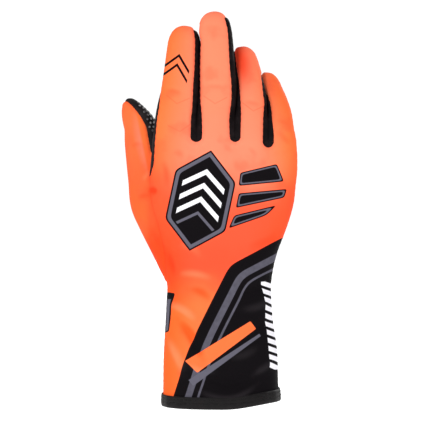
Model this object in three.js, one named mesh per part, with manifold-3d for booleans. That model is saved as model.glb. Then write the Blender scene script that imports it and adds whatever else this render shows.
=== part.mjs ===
// A karting glove for the right hand, in millimetres, +Z up along the fingers.
// The back of the hand faces -Y, the palm faces +Y and the thumb points to -X.
// The origin is the middle of the cuff's mouth, in the plane of the hem's lower edge.
// The glove keeps the form that a hand gives it: a hollow shell of fabric, which is cut
// along its seams into the panels that the real glove is sewn from.
import * as THREE from 'three';
import { mergeVertices } from 'three/addons/utils/BufferGeometryUtils.js';
import Module from 'manifold-3d';

const wasm = await Module();
wasm.setup();

// Lengths
const CUFF_LENGTH = 84.6;
const HAND_LENGTH = 94;
const FINGER_LENGTH = 89.2;
const THUMB_LENGTH = 119;
const THUMB_HEEL = 6;

// Cuff, wrist and hand, measured over the fabric
const MOUTH_WIDTH = 78.4;
const MOUTH_DEPTH = 58;
const WRIST_WIDTH = 71;
const WRIST_DEPTH = 45;
const HAND_WIDTH = 99;
const HAND_DEPTH = 35;

// Fingers and thumb, and how far the tips of the little finger and the thumb reach
// towards the palm. THUMB_REACH is from the middle of the hand to the tip of the thumb.
const FINGER_WIDTH = 24;
const FINGER_DEPTH = 21.6;
const FINGER_CURL = 44;
const THUMB_WIDTH = 25;
const THUMB_DEPTH = 23;
const THUMB_REACH = 62.5;
const THUMB_CURL = 17;

// Fabric, seams and hem
const FABRIC = 1.4;
const SEAM_GAP = 0.3;
const PALM_SEAM_HEIGHT = 81;
const HEM_HEIGHT = 8;
const HEM_TAPE = 1.2;
const HEM_FOLD = 1.5;

// Facets round each tube, how far a cutter reaches past the glove, and how close two
// points are that count as one
const BODY_SIDES = 30;
const FINGER_SIDES = 14;
const CAP_ANGLES = [30, 57, 79];
const OVERCUT = 60;
const SAME_POINT = 1e-4;

// How blunt the ends of the fingers are: 1 is an ellipse, and less is blunter.
const TIP_ROUNDING = 0.82;

// Where the fingers part, above the mouth
const CROTCH_HEIGHT = CUFF_LENGTH + HAND_LENGTH;

// Colours and finishes of the fabrics
const ORANGE_JERSEY = { color: 0xff7040, roughness: 0.85, metalness: 0 };
const BLACK_SUEDE = { color: 0x232022, roughness: 0.9, metalness: 0 };
const BLACK_STRETCH = { color: 0x1c191b, roughness: 0.8, metalness: 0 };
const BLACK_TAPE = { color: 0x1e1c1d, roughness: 0.8, metalness: 0 };

// Sections of the cuff: up is a share of the cuff's length, and flare runs from 0 at the
// wrist's size to 1 at the mouth's. shift is sideways, a share of the hand's width.
const CUFF_ROWS = [
  { up: 0.0, flareWide: 1.0, flareDeep: 1.0, shift: 0.0 },
  { up: 0.12, flareWide: 0.92, flareDeep: 0.9, shift: -0.002 },
  { up: 0.26, flareWide: 0.84, flareDeep: 0.72, shift: -0.004 },
  { up: 0.39, flareWide: 0.7, flareDeep: 0.55, shift: -0.007 },
  { up: 0.54, flareWide: 0.46, flareDeep: 0.36, shift: -0.009 },
  { up: 0.7, flareWide: 0.16, flareDeep: 0.18, shift: -0.012 },
  { up: 0.85, flareWide: -0.03, flareDeep: 0.06, shift: -0.014 },
];

// Sections of the hand: up is a share of the hand's length, and spread runs from 0 at the
// wrist's size to 1 at the hand's. back is how far the middle moves to the back of the
// hand, a share of the hand's depth.
const HAND_ROWS = [
  { up: 0.0, spreadWide: 0.0, spreadDeep: 0.0, shift: -0.012, back: 0.0 },
  { up: 0.11, spreadWide: 0.11, spreadDeep: 0.12, shift: -0.013, back: 0.0 },
  { up: 0.22, spreadWide: 0.27, spreadDeep: 0.26, shift: -0.008, back: 0.0 },
  { up: 0.33, spreadWide: 0.5, spreadDeep: 0.42, shift: 0.0, back: 0.0 },
  { up: 0.44, spreadWide: 0.72, spreadDeep: 0.58, shift: 0.006, back: 0.0 },
  { up: 0.56, spreadWide: 0.915, spreadDeep: 0.8, shift: 0.009, back: 0.01 },
  { up: 0.68, spreadWide: 0.99, spreadDeep: 1.1, shift: 0.011, back: 0.03 },
  { up: 0.79, spreadWide: 1.0, spreadDeep: 1.45, shift: 0.02, back: 0.06 },
  { up: 0.89, spreadWide: 0.965, spreadDeep: 1.85, shift: 0.02, back: 0.09 },
  { up: 0.97, spreadWide: 0.88, spreadDeep: 2.3, shift: 0.02, back: 0.11 },
];
// The web between the fingers is highest near the palm. The fingers' roots are further
// to the back of the hand.
const HAND_TOP = { rise: 0.19, shift: 0.02, back: -0.08 };
const FINGER_ROOT_BACK = 0.12;
const BODY_SQUARENESS = 2.5;
const FINGER_SQUARENESS = 2.25;

// Soft dents and swells of the cuff and the hand. around is the angle in degrees from
// +X towards the palm, up a share of the height of the crotch, tall a share of the same
// height, wide an angle, and out how far the fabric stands out (or in, below 0), as a
// share of FOLD_DEPTH.
const FOLD_DEPTH = 2.4;
const FOLDS = [
  { around: -62, up: 0.1, wide: 34, tall: 0.05, out: -1.0 },
  { around: -68, up: 0.03, wide: 40, tall: 0.04, out: 0.5 },
  { around: -20, up: 0.2, wide: 24, tall: 0.08, out: 0.5 },
  { around: -128, up: 0.25, wide: 20, tall: 0.1, out: 0.6 },
  { around: -105, up: 0.33, wide: 18, tall: 0.08, out: -0.7 },
  { around: -140, up: 0.44, wide: 26, tall: 0.04, out: -0.8 },
  { around: -45, up: 0.47, wide: 30, tall: 0.04, out: -0.6 },
  { around: 90, up: 0.45, wide: 50, tall: 0.03, out: -0.9 },
  { around: 60, up: 0.2, wide: 30, tall: 0.06, out: -0.6 },
  { around: 115, up: 0.29, wide: 26, tall: 0.07, out: 0.6 },
];

// Fingers. long is the height of the tip above the crotch line, as a share of
// FINGER_LENGTH, and thick, tall and curled are shares of FINGER_WIDTH, FINGER_DEPTH and
// FINGER_CURL. Each row is a section: up is a share of the finger's length, across a share
// of the hand's width from its middle, and wide, deep and forward are shares of the
// finger's own width, depth and curl. The last row is the tip.
const FINGERS = [
  {
    name: 'index', long: 0.89, thick: 0.975, tall: 0.99, curled: 0.386,
    rows: [
      { up: -0.38, across: -0.298, wide: 0.95, deep: 0.84, forward: 0.0 },
      { up: 0.0, across: -0.3165, wide: 1.21, deep: 1.18, forward: 0.0 },
      { up: 0.2, across: -0.309, wide: 1.188, deep: 1.09, forward: 0.04 },
      { up: 0.4, across: -0.284, wide: 1.11, deep: 1.0, forward: 0.16 },
      { up: 0.6, across: -0.271, wide: 1.014, deep: 0.97, forward: 0.36 },
      { up: 0.8, across: -0.2605, wide: 0.93, deep: 0.9, forward: 0.64 },
      { up: 1.0, across: -0.24, wide: 0, deep: 0, forward: 1.0 },
    ],
  },
  {
    name: 'middle', long: 1, thick: 1, tall: 1, curled: 0.341,
    rows: [
      { up: -0.34, across: -0.034, wide: 0.88, deep: 0.84, forward: 0.0 },
      { up: 0.0, across: -0.0365, wide: 1.01, deep: 1.2, forward: 0.0 },
      { up: 0.2, across: -0.035, wide: 1.045, deep: 1.1, forward: 0.04 },
      { up: 0.4, across: -0.025, wide: 1.022, deep: 1.0, forward: 0.16 },
      { up: 0.6, across: -0.0275, wide: 0.99, deep: 0.97, forward: 0.36 },
      { up: 0.8, across: -0.035, wide: 0.93, deep: 0.9, forward: 0.64 },
      { up: 1.0, across: -0.055, wide: 0, deep: 0, forward: 1.0 },
    ],
  },
  {
    name: 'ring', long: 0.734, thick: 0.875, tall: 0.944, curled: 0.818,
    rows: [
      { up: -0.44, across: 0.208, wide: 0.88, deep: 0.84, forward: 0.0 },
      { up: 0.0, across: 0.2105, wide: 1.0, deep: 1.2, forward: 0.0 },
      { up: 0.2, across: 0.206, wide: 1.035, deep: 1.1, forward: 0.05 },
      { up: 0.4, across: 0.209, wide: 0.998, deep: 1.01, forward: 0.18 },
      { up: 0.6, across: 0.1995, wide: 0.925, deep: 0.98, forward: 0.38 },
      { up: 0.8, across: 0.175, wide: 0.86, deep: 0.92, forward: 0.66 },
      { up: 1.0, across: 0.143, wide: 0, deep: 0, forward: 1.0 },
    ],
  },
  {
    name: 'little', long: 0.534, thick: 0.725, tall: 0.815, curled: 1,
    rows: [
      { up: -0.6, across: 0.398, wide: 0.82, deep: 0.8, forward: 0.0 },
      { up: -0.08, across: 0.421, wide: 1.0, deep: 1.22, forward: 0.0 },
      { up: 0.16, across: 0.411, wide: 1.0, deep: 1.1, forward: 0.06 },
      { up: 0.38, across: 0.402, wide: 0.96, deep: 1.01, forward: 0.2 },
      { up: 0.58, across: 0.379, wide: 0.93, deep: 0.98, forward: 0.4 },
      { up: 0.78, across: 0.348, wide: 0.9, deep: 0.93, forward: 0.68 },
      { up: 1.0, across: 0.318, wide: 0, deep: 0, forward: 1.0 },
    ],
  },
];

// The thumb: up is a share of THUMB_LENGTH from the heel, and the row below the heel is
// inside the hand. across is a share of THUMB_REACH and forward a share of THUMB_CURL.
const THUMB_ROWS = [
  { up: -0.06, across: -0.42, wide: 0.7, deep: 0.8, forward: 0.08 },
  { up: 0.0, across: -0.46, wide: 0.86, deep: 0.95, forward: 0.12 },
  { up: 0.11, across: -0.535, wide: 1.0, deep: 1.12, forward: 0.22 },
  { up: 0.2, across: -0.595, wide: 1.12, deep: 1.22, forward: 0.3 },
  { up: 0.3, across: -0.672, wide: 1.2, deep: 1.24, forward: 0.4 },
  { up: 0.39, across: -0.742, wide: 1.23, deep: 1.2, forward: 0.5 },
  { up: 0.53, across: -0.79, wide: 1.14, deep: 1.12, forward: 0.62 },
  { up: 0.66, across: -0.83, wide: 1.07, deep: 1.04, forward: 0.74 },
  { up: 0.75, across: -0.858, wide: 1.01, deep: 1.0, forward: 0.84 },
  { up: 0.84, across: -0.887, wide: 0.9, deep: 0.92, forward: 0.92 },
  { up: 1.0, across: -1.015, wide: 0, deep: 0, forward: 1.0 },
];
// The palm side of the thumb faces this way, from +X towards +Y.
const THUMB_TURN = THREE.MathUtils.degToRad(22);

// Side strips between the fingers. Each row is a height, as a share of the rise of the
// left or right finger of the pair, and how much of each finger's side the strip covers
// there, as a share of STRIP_COVER. Where the right share is 0 the strip stays on the left
// finger and stops STRIP_PAST beyond its side. A strip is never narrower than STRIP_LEAST.
const STRIP_COVER = 3.2;
const STRIP_FOOT = 4;
const STRIP_PAST = 0.8;
const STRIP_LEAST = 1.2;
const STRIPS = [
  {
    name: 'fourchette_index_middle', left: 0, right: 1, tall: 0,
    rows: [
      { up: 0.045, left: 0.75, right: 0.65 },
      { up: 0.22, left: 0.75, right: 0.7 },
      { up: 0.4, left: 0.75, right: 0.3 },
      { up: 0.6, left: 0.7, right: 0.15 },
      { up: 0.8, left: 0.75, right: 0.15 },
      { up: 0.93, left: 0.6, right: 0.15 },
    ],
  },
  {
    name: 'fourchette_middle_ring', left: 1, right: 2, tall: 1,
    rows: [
      { up: 0.045, left: 0.7, right: 0.65 },
      { up: 0.2, left: 0.75, right: 0.95 },
      { up: 0.4, left: 0.8, right: 0.7 },
      { up: 0.6, left: 0.8, right: 0.5 },
      { up: 0.8, left: 0.85, right: 0.0 },
      { up: 0.94, left: 0.6, right: 0.0 },
    ],
  },
  {
    name: 'fourchette_ring_little', left: 2, right: 3, tall: 3,
    rows: [
      { up: 0.0, left: 0.75, right: 0.7 },
      { up: 0.2, left: 0.8, right: 0.9 },
      { up: 0.4, left: 0.65, right: 0.85 },
      { up: 0.6, left: 0.5, right: 0.6 },
      { up: 0.78, left: 0.45, right: 0.5 },
    ],
  },
];

// A three.js geometry as a manifold-3d solid.
function solidOf(geometry) {
  const bare = geometry.clone();
  bare.deleteAttribute('normal');
  bare.deleteAttribute('uv');
  const merged = mergeVertices(bare, SAME_POINT);
  return new wasm.Manifold(new wasm.Mesh({
    numProp: 3,
    vertProperties: merged.attributes.position.array,
    triVerts: new Uint32Array(merged.index.array),
  }));
}

// A manifold-3d solid as a three.js geometry, with flat facets.
function geometryOf(solid) {
  const { vertProperties, triVerts, numProp } = solid.getMesh();
  const position = new Float32Array(triVerts.length * 3);
  triVerts.forEach((vertex, corner) => {
    for (let axis = 0; axis < 3; axis += 1) {
      position[corner * 3 + axis] = vertProperties[vertex * numProp + axis];
    }
  });
  const geometry = new THREE.BufferGeometry();
  geometry.setAttribute('position', new THREE.BufferAttribute(position, 3));
  geometry.computeVertexNormals();
  return geometry;
}

const joined = (solids) => solids.reduce((sum, solid) => sum.add(solid));

// The main body of a solid, without the crumbs that a cut leaves at a crease.
function mainBody(solid) {
  const bodies = solid.decompose();
  return bodies.reduce((best, body) => (body.volume() > best.volume() ? body : best));
}

// One coordinate of a rounded oval, from the same coordinate of a unit circle.
const squared = (unit, squareness) => Math.sign(unit) * Math.abs(unit) ** (2 / squareness);

// How far the folds move the fabric out at an angle and a height.
function foldAt(degrees, height) {
  return FOLDS.reduce((sum, fold) => {
    const turn = THREE.MathUtils.euclideanModulo(degrees - fold.around + 180, 360) - 180;
    const climb = height / CROTCH_HEIGHT - fold.up;
    const falloff = Math.exp(-((turn / fold.wide) ** 2) - (climb / fold.tall) ** 2);
    return sum + fold.out * FOLD_DEPTH * falloff;
  }, 0);
}

// A closed tube through a list of oval sections, each square to the line of their middles.
// A section has a middle, halfWide and halfDeep, and grow makes every section larger.
function tube(sections, sides, squareness, grow, relief = () => 0) {
  const spans = sections.length - 1;
  const geometry = new THREE.CylinderGeometry(1, 1, spans, sides, spans);
  const position = geometry.attributes.position;
  const frames = sections.map((section, row) => {
    const before = sections[Math.max(row - 1, 0)].middle;
    const after = sections[Math.min(row + 1, spans)].middle;
    const along = after.clone().sub(before).normalize();
    const wide = new THREE.Vector3(1, 0, 0).addScaledVector(along, -along.x).normalize();
    return { wide, deep: along.clone().cross(wide) };
  });
  const point = new THREE.Vector3();
  for (let i = 0; i < position.count; i += 1) {
    const row = Math.round(position.getY(i) + spans / 2);
    const { middle, halfWide, halfDeep } = sections[row];
    const { wide, deep } = frames[row];
    const across = position.getX(i);
    const inwards = -position.getZ(i);
    const out = grow + relief(THREE.MathUtils.radToDeg(Math.atan2(inwards, across)), middle.z);
    point.copy(middle)
      .addScaledVector(wide, squared(across, squareness) * (halfWide + out))
      .addScaledVector(deep, squared(inwards, squareness) * (halfDeep + out));
    position.setXYZ(i, point.x, point.y, point.z);
  }
  return solidOf(geometry);
}

// The sections of a rounded end, from the last full section to the tip.
function roundedEnd(last, tip, grow) {
  const reach = tip.clone().sub(last.middle);
  reach.setLength(reach.length() + grow);
  return CAP_ANGLES.map(THREE.MathUtils.degToRad).map((angle) => ({
    middle: last.middle.clone().addScaledVector(reach, Math.sin(angle)),
    halfWide: (last.halfWide + grow) * Math.cos(angle) ** TIP_ROUNDING - grow,
    halfDeep: (last.halfDeep + grow) * Math.cos(angle) ** TIP_ROUNDING - grow,
  }));
}

// The full sections of a finger or the thumb, and its tip.
function sectionsOf(rows, width, depth, place) {
  const sections = rows.map((row) => ({
    middle: place(row),
    halfWide: (width / 2) * row.wide,
    halfDeep: (depth / 2) * row.deep,
  }));
  const tip = sections.pop().middle;
  return { sections, tip };
}

function digitTube({ sections, tip }, grow) {
  const end = roundedEnd(sections[sections.length - 1], tip, grow);
  return tube([...sections, ...end], FINGER_SIDES, FINGER_SQUARENESS, grow);
}

// Sections of the cuff and the hand, from the mouth up
const mix = THREE.MathUtils.lerp;
const cuffSections = CUFF_ROWS.map((row) => ({
  middle: new THREE.Vector3(row.shift * HAND_WIDTH, 0, row.up * CUFF_LENGTH),
  halfWide: mix(WRIST_WIDTH, MOUTH_WIDTH, row.flareWide) / 2,
  halfDeep: mix(WRIST_DEPTH, MOUTH_DEPTH, row.flareDeep) / 2,
}));
const handSections = HAND_ROWS.map((row) => ({
  middle: new THREE.Vector3(
    row.shift * HAND_WIDTH,
    -row.back * HAND_DEPTH,
    CUFF_LENGTH + row.up * HAND_LENGTH,
  ),
  halfWide: mix(WRIST_WIDTH, HAND_WIDTH, row.spreadWide) / 2,
  halfDeep: mix(WRIST_DEPTH, HAND_DEPTH, row.spreadDeep) / 2,
}));
const bodySections = [...cuffSections, ...handSections];
const bodyTop = new THREE.Vector3(
  HAND_TOP.shift * HAND_WIDTH,
  -HAND_TOP.back * HAND_DEPTH,
  CROTCH_HEIGHT + HAND_TOP.rise * HAND_LENGTH,
);

// The hand and cuff as one tube, which runs on past the mouth by the given length.
function bodyTube(grow, past) {
  const mouth = bodySections[0];
  const below = { ...mouth, middle: mouth.middle.clone().setZ(-past) };
  const end = roundedEnd(bodySections[bodySections.length - 1], bodyTop, grow);
  return tube([below, ...bodySections, ...end], BODY_SIDES, BODY_SQUARENESS, grow, foldAt);
}

const fingerBack = -FINGER_ROOT_BACK * HAND_DEPTH;
const fingers = FINGERS.map(({ long, thick, tall, curled, rows }) => sectionsOf(
  rows,
  thick * FINGER_WIDTH,
  tall * FINGER_DEPTH,
  (row) => new THREE.Vector3(
    row.across * HAND_WIDTH,
    fingerBack + row.forward * curled * FINGER_CURL,
    CROTCH_HEIGHT + row.up * long * FINGER_LENGTH,
  ),
));
const thumb = sectionsOf(THUMB_ROWS, THUMB_WIDTH, THUMB_DEPTH, (row) => new THREE.Vector3(
  row.across * THUMB_REACH,
  row.forward * THUMB_CURL,
  CUFF_LENGTH + THUMB_HEEL + row.up * THUMB_LENGTH,
));

// The hand with its four fingers, solid, with every surface moved out by grow.
function handSolid(grow, past) {
  return joined([bodyTube(grow, past), ...fingers.map((finger) => digitTube(finger, grow))]);
}

const handOuter = handSolid(0, OVERCUT);
const handInner = handSolid(-FABRIC, 2 * OVERCUT);
const thumbOuter = digitTube(thumb, 0);
const thumbInner = digitTube(thumb, -FABRIC);
const handShell = handOuter.subtract(handInner).subtract(thumbInner);
const thumbShell = thumbOuter.subtract(thumbInner).subtract(handSolid(SEAM_GAP, OVERCUT));

// A prism whose outline lies in the XZ plane, through the whole glove along Y.
function prismAlongY(outline) {
  const depth = 2 * (MOUTH_DEPTH + OVERCUT);
  const geometry = new THREE.ExtrudeGeometry(new THREE.Shape(outline), {
    depth, bevelEnabled: false,
  });
  geometry.rotateX(Math.PI / 2);
  geometry.translate(0, depth / 2, 0);
  return solidOf(geometry);
}

// A prism whose outline lies in the YZ plane, through the whole glove along X.
function prismAlongX(outline) {
  const depth = 2 * (HAND_WIDTH + OVERCUT);
  const geometry = new THREE.ExtrudeGeometry(new THREE.Shape(outline), {
    depth, bevelEnabled: false,
  });
  geometry.rotateX(Math.PI / 2);
  geometry.rotateZ(Math.PI / 2);
  geometry.translate(-depth / 2, 0, 0);
  return solidOf(geometry);
}

const far = Math.max(MOUTH_DEPTH, HAND_WIDTH) + OVERCUT;
const pointXZ = (x, z) => new THREE.Vector2(x, z);

// Everything between two heights.
function layer(low, high) {
  return prismAlongY([
    pointXZ(-far, low), pointXZ(far, low), pointXZ(far, high), pointXZ(-far, high),
  ]);
}

// The middle line of a finger at a height: how far across, forward and half wide it is.
function fingerAt({ sections, tip }, height) {
  const last = sections[sections.length - 1];
  if (height >= last.middle.z) {
    const share = Math.min((height - last.middle.z) / (tip.z - last.middle.z), 1);
    const middle = last.middle.clone().lerp(tip, share);
    const narrowing = Math.cos(Math.asin(share)) ** TIP_ROUNDING;
    return { middle, halfWide: last.halfWide * narrowing };
  }
  const above = sections.findIndex((section) => section.middle.z > height);
  const high = sections[Math.max(above, 1)];
  const low = sections[Math.max(above, 1) - 1];
  const share = Math.max((height - low.middle.z) / (high.middle.z - low.middle.z), 0);
  return {
    middle: low.middle.clone().lerp(high.middle, share),
    halfWide: mix(low.halfWide, high.halfWide, share),
  };
}

// The two edges of a side strip, from its foot in the crotch up to its point.
function stripEdges(strip) {
  const left = fingers[strip.left];
  const right = fingers[strip.right];
  const rise = FINGERS[strip.tall].long * FINGER_LENGTH;
  return strip.rows.map((row) => {
    const height = CROTCH_HEIGHT + row.up * rise;
    const a = fingerAt(left, height);
    const b = fingerAt(right, height);
    const from = a.middle.x + a.halfWide - row.left * STRIP_COVER;
    const beyond = a.middle.x + a.halfWide + STRIP_PAST;
    const to = row.right > 0 ? b.middle.x - b.halfWide + row.right * STRIP_COVER : beyond;
    return { height, from, to: Math.max(to, from + STRIP_LEAST) };
  });
}

// The outline of a side strip as seen from the back of the hand, wider by grow all round.
function stripOutline(strip, grow) {
  const edges = stripEdges(strip);
  const foot = edges[0];
  const top = edges[edges.length - 1];
  const middle = (foot.from + foot.to) / 2;
  const radius = (foot.to - foot.from) / 2 + grow;
  const arc = [180, 216, 252, 288, 324, 360].map(THREE.MathUtils.degToRad).map((angle) => (
    pointXZ(
      middle + radius * Math.cos(angle),
      foot.height - grow + STRIP_FOOT * Math.sin(angle),
    )));
  const upRight = edges.slice(1).map((edge) => pointXZ(edge.to + grow, edge.height));
  const downLeft = edges.slice(1).reverse()
    .map((edge) => pointXZ(edge.from - grow, edge.height));
  const point = pointXZ((top.from + top.to) / 2, top.height + STRIP_COVER + grow);
  return [...arc, ...upRight, point, ...downLeft];
}

// The middle of a strip, drawn out past the mouth and the fingertips.
function stripMiddle(strip) {
  const edges = stripEdges(strip);
  const middles = edges.map((edge) => pointXZ((edge.from + edge.to) / 2, edge.height));
  const foot = middles[0];
  const top = middles[middles.length - 1];
  return [pointXZ(foot.x, -far), ...middles, pointXZ(top.x, CROTCH_HEIGHT + 2 * far)];
}

// The side of the seam that faces the back of the hand (side -1) or the palm (side 1).
function sideOfSeam(side) {
  const bounds = [
    [pointXZ(-far, -far), pointXZ(-far, CROTCH_HEIGHT + 2 * far)],
    ...STRIPS.map(stripMiddle),
    [pointXZ(far, -far), pointXZ(far, CROTCH_HEIGHT + 2 * far)],
  ];
  const lanes = fingers.map(({ sections, tip }, lane) => {
    const reach = side * far;
    const shift = (side * SEAM_GAP) / 2;
    const above = sections.slice(1).map((section) => section.middle);
    const below = bodySections.map((section) => section.middle)
      .filter((middle) => middle.z < above[0].z - FABRIC);
    const line = [...below, ...above, tip];
    const seam = line.map((middle) => new THREE.Vector2(middle.y + shift, middle.z));
    const end = seam[seam.length - 1];
    const profile = prismAlongX([
      new THREE.Vector2(reach, -far),
      new THREE.Vector2(seam[0].x, -far),
      ...seam,
      new THREE.Vector2(end.x, CROTCH_HEIGHT + 2 * far),
      new THREE.Vector2(reach, CROTCH_HEIGHT + 2 * far),
    ]);
    const strip = prismAlongY([...bounds[lane + 1], ...bounds[lane].slice().reverse()]);
    return profile.intersect(strip);
  });
  return joined(lanes);
}

// The side of the thumb's seam that faces its palm (side 1) or its back (side -1).
function sideOfThumb(side) {
  const facing = new THREE.Vector3(Math.cos(THUMB_TURN), Math.sin(THUMB_TURN), 0);
  const { sections, tip } = thumb;
  const heel = sections[0].middle.clone().setZ(0);
  const crown = tip.clone().setZ(tip.z + OVERCUT);
  const line = [heel, ...sections.map((section) => section.middle), tip, crown];
  const spans = line.length - 1;
  const geometry = new THREE.BoxGeometry(1, 1, spans, 1, 1, spans);
  const position = geometry.attributes.position;
  const sideways = new THREE.Vector3(-facing.y, facing.x, 0);
  const point = new THREE.Vector3();
  for (let i = 0; i < position.count; i += 1) {
    const out = position.getX(i) > 0 ? OVERCUT : SEAM_GAP / 2;
    point.copy(line[Math.round(position.getZ(i) + spans / 2)])
      .addScaledVector(facing, side * out)
      .addScaledVector(sideways, side * position.getY(i) * 2 * OVERCUT);
    position.setXYZ(i, point.x, point.y, point.z);
  }
  return solidOf(geometry);
}

// Panels of the hand and cuff
const hemTop = HEM_FOLD + SEAM_GAP;
const aboveFold = layer(hemTop, CROTCH_HEIGHT + 2 * far);
const strips = STRIPS.map((strip) => ({
  name: strip.name,
  solid: mainBody(handShell.intersect(prismAlongY(stripOutline(strip, -SEAM_GAP / 2)))),
}));
const stripRoom = joined(STRIPS.map((strip) => prismAlongY(stripOutline(strip, SEAM_GAP / 2))));
const backPanel = handShell.intersect(sideOfSeam(-1)).intersect(aboveFold).subtract(stripRoom);
const palmSide = handShell.intersect(sideOfSeam(1)).intersect(aboveFold).subtract(stripRoom);
const palmPanel = palmSide.intersect(
  layer(PALM_SEAM_HEIGHT + SEAM_GAP / 2, CROTCH_HEIGHT + 2 * far),
);
const cuffUnderside = palmSide.intersect(layer(0, PALM_SEAM_HEIGHT - SEAM_GAP / 2));

// The hem: a tape folded over the lower edge of the cuff, with a slot that holds the edge
function hemBand() {
  const outside = bodyTube(SEAM_GAP + HEM_TAPE, OVERCUT);
  const inside = bodyTube(-FABRIC - SEAM_GAP - HEM_TAPE, 2 * OVERCUT);
  const slot = bodyTube(SEAM_GAP, OVERCUT)
    .subtract(bodyTube(-FABRIC - SEAM_GAP, 2 * OVERCUT));
  return outside.subtract(inside)
    .intersect(layer(0, HEM_HEIGHT))
    .subtract(slot.intersect(layer(HEM_FOLD, HEM_HEIGHT + OVERCUT)));
}

// The glove
const glove = new THREE.Group();

function addPiece(name, solid, finish) {
  const mesh = new THREE.Mesh(
    geometryOf(mainBody(solid)),
    new THREE.MeshStandardMaterial(finish),
  );
  mesh.name = name;
  glove.add(mesh);
}

addPiece('back_panel', backPanel, ORANGE_JERSEY);
addPiece('palm_panel', palmPanel, BLACK_SUEDE);
addPiece('cuff_underside', cuffUnderside, ORANGE_JERSEY);
addPiece('thumb_back', thumbShell.intersect(sideOfThumb(-1)), ORANGE_JERSEY);
addPiece('thumb_palm', thumbShell.intersect(sideOfThumb(1)), BLACK_SUEDE);
strips.forEach(({ name, solid }) => addPiece(name, solid, BLACK_STRETCH));
addPiece('hem_band', hemBand(), BLACK_TAPE);

export default glove;
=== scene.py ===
"""A karting glove for the right hand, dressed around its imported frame.

Lengths are in millimetres until a mesh is made. +Z runs up along the fingers, the back of
the hand faces -Y and the thumb points to -X, as in the frame. The whole outside of the
glove is one smooth form. It is cut along its seams into the panels that the real glove is
sewn from, and each panel gets a thickness of its own.
"""

import logging
import math
from dataclasses import dataclass, field
from enum import Enum

import bpy
import numpy as np
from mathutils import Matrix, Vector
from mathutils.bvhtree import BVHTree


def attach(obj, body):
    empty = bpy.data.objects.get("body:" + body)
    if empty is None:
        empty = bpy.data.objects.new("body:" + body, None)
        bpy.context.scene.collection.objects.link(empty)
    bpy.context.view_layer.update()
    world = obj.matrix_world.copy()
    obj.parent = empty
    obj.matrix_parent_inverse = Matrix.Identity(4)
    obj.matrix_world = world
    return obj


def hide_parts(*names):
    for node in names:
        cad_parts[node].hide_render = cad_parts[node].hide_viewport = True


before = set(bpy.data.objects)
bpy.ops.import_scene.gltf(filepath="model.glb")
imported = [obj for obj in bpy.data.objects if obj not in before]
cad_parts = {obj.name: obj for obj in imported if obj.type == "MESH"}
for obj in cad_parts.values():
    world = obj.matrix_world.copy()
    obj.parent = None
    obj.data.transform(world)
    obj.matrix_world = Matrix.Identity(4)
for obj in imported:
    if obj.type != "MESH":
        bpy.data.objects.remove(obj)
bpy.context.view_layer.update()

Array = np.ndarray
Colour = tuple[float, float, float]
Row = tuple[float, ...]
# A raised dot: its place and the way it faces
Dot = tuple[Array, Array]

logging.basicConfig(level=logging.INFO, format="%(message)s")
log = logging.getLogger("glove")

MM = 0.001
BODY = "root"

# A value that keeps a division from failing
TINY = 1e-9


class Panel(Enum):
    """The sewn pieces of the glove, by the frame's names."""

    BACK = "back_panel"
    PALM = "palm_panel"
    CUFF_UNDERSIDE = "cuff_underside"
    THUMB_BACK = "thumb_back"
    THUMB_PALM = "thumb_palm"
    INDEX_MIDDLE = "fourchette_index_middle"
    MIDDLE_RING = "fourchette_middle_ring"
    RING_LITTLE = "fourchette_ring_little"
    HEM = "hem_band"


class Slot(Enum):
    """The record's material slots."""

    JERSEY = "orange_jersey"
    SUEDE = "black_suede"
    STRETCH = "black_stretch"
    TAPE = "black_tape"


def smoothstep(low: float, high: float, at: Array) -> Array:
    """A soft step from 0 at low to 1 at high."""
    share = np.clip((at - low) / (high - low), 0.0, 1.0)
    return share * share * (3.0 - 2.0 * share)


def soft_minimum(a: Array, b: Array, reach: float) -> Array:
    """The lower of two distances, rounded where they are closer than reach."""
    near = np.maximum(reach - np.abs(a - b), 0.0) / reach
    return np.minimum(a, b) - near * near * reach / 4.0


def through_rows(knots: Array, rows: Array, at: Array) -> Array:
    """A smooth curve through rows of numbers.

    Args:
        knots: Where each row stands, rising.
        rows: One row of numbers for each knot.
        at: Where the curve is wanted.

    Returns:
        One row of numbers for each place in at.
    """
    slopes = np.gradient(rows, knots, axis=0)
    at = np.clip(at, knots[0], knots[-1])
    low = np.clip(np.searchsorted(knots, at, side="right") - 1, 0, len(knots) - 2)
    span = (knots[low + 1] - knots[low])[:, None]
    share = (at - knots[low])[:, None] / span
    square, cube = share**2, share**3
    return (
        rows[low] * (2 * cube - 3 * square + 1)
        + slopes[low] * span * (cube - 2 * square + share)
        + rows[low + 1] * (3 * square - 2 * cube)
        + slopes[low + 1] * span * (cube - square)
    )


def oval_distance(
    offsets: Array, halves: Array, squareness: float, ends: Array, end_power: float,
) -> Array:
    """Distance from the surface of a tube with rounded oval sections, below 0 inside.

    Args:
        offsets: How far across and how deep each point is from the tube's middle line.
        halves: Half the width and half the depth of the tube beside each point.
        squareness: 2 for an ellipse, more for a squarer oval.
        ends: How far each point is past the tube's last section, as a share of the rounded
            end's length, and that length.
        end_power: How blunt the rounded end is.

    Returns:
        One distance for each point.
    """
    share = np.abs(offsets) / halves
    radius = np.maximum((share**squareness).sum(1) ** (1 / squareness), TINY)
    slope = (share / radius[:, None]) ** (squareness - 1) / halves
    past, length = ends[:, 0], ends[:, 1]
    whole = np.maximum((radius**end_power + past**end_power) ** (1 / end_power), TINY)
    sideways = (radius / whole) ** (end_power - 1) * np.sqrt((slope**2).sum(1))
    onwards = (past / whole) ** (end_power - 1) / length
    return (whole - 1) / np.sqrt(sideways**2 + onwards**2)


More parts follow.
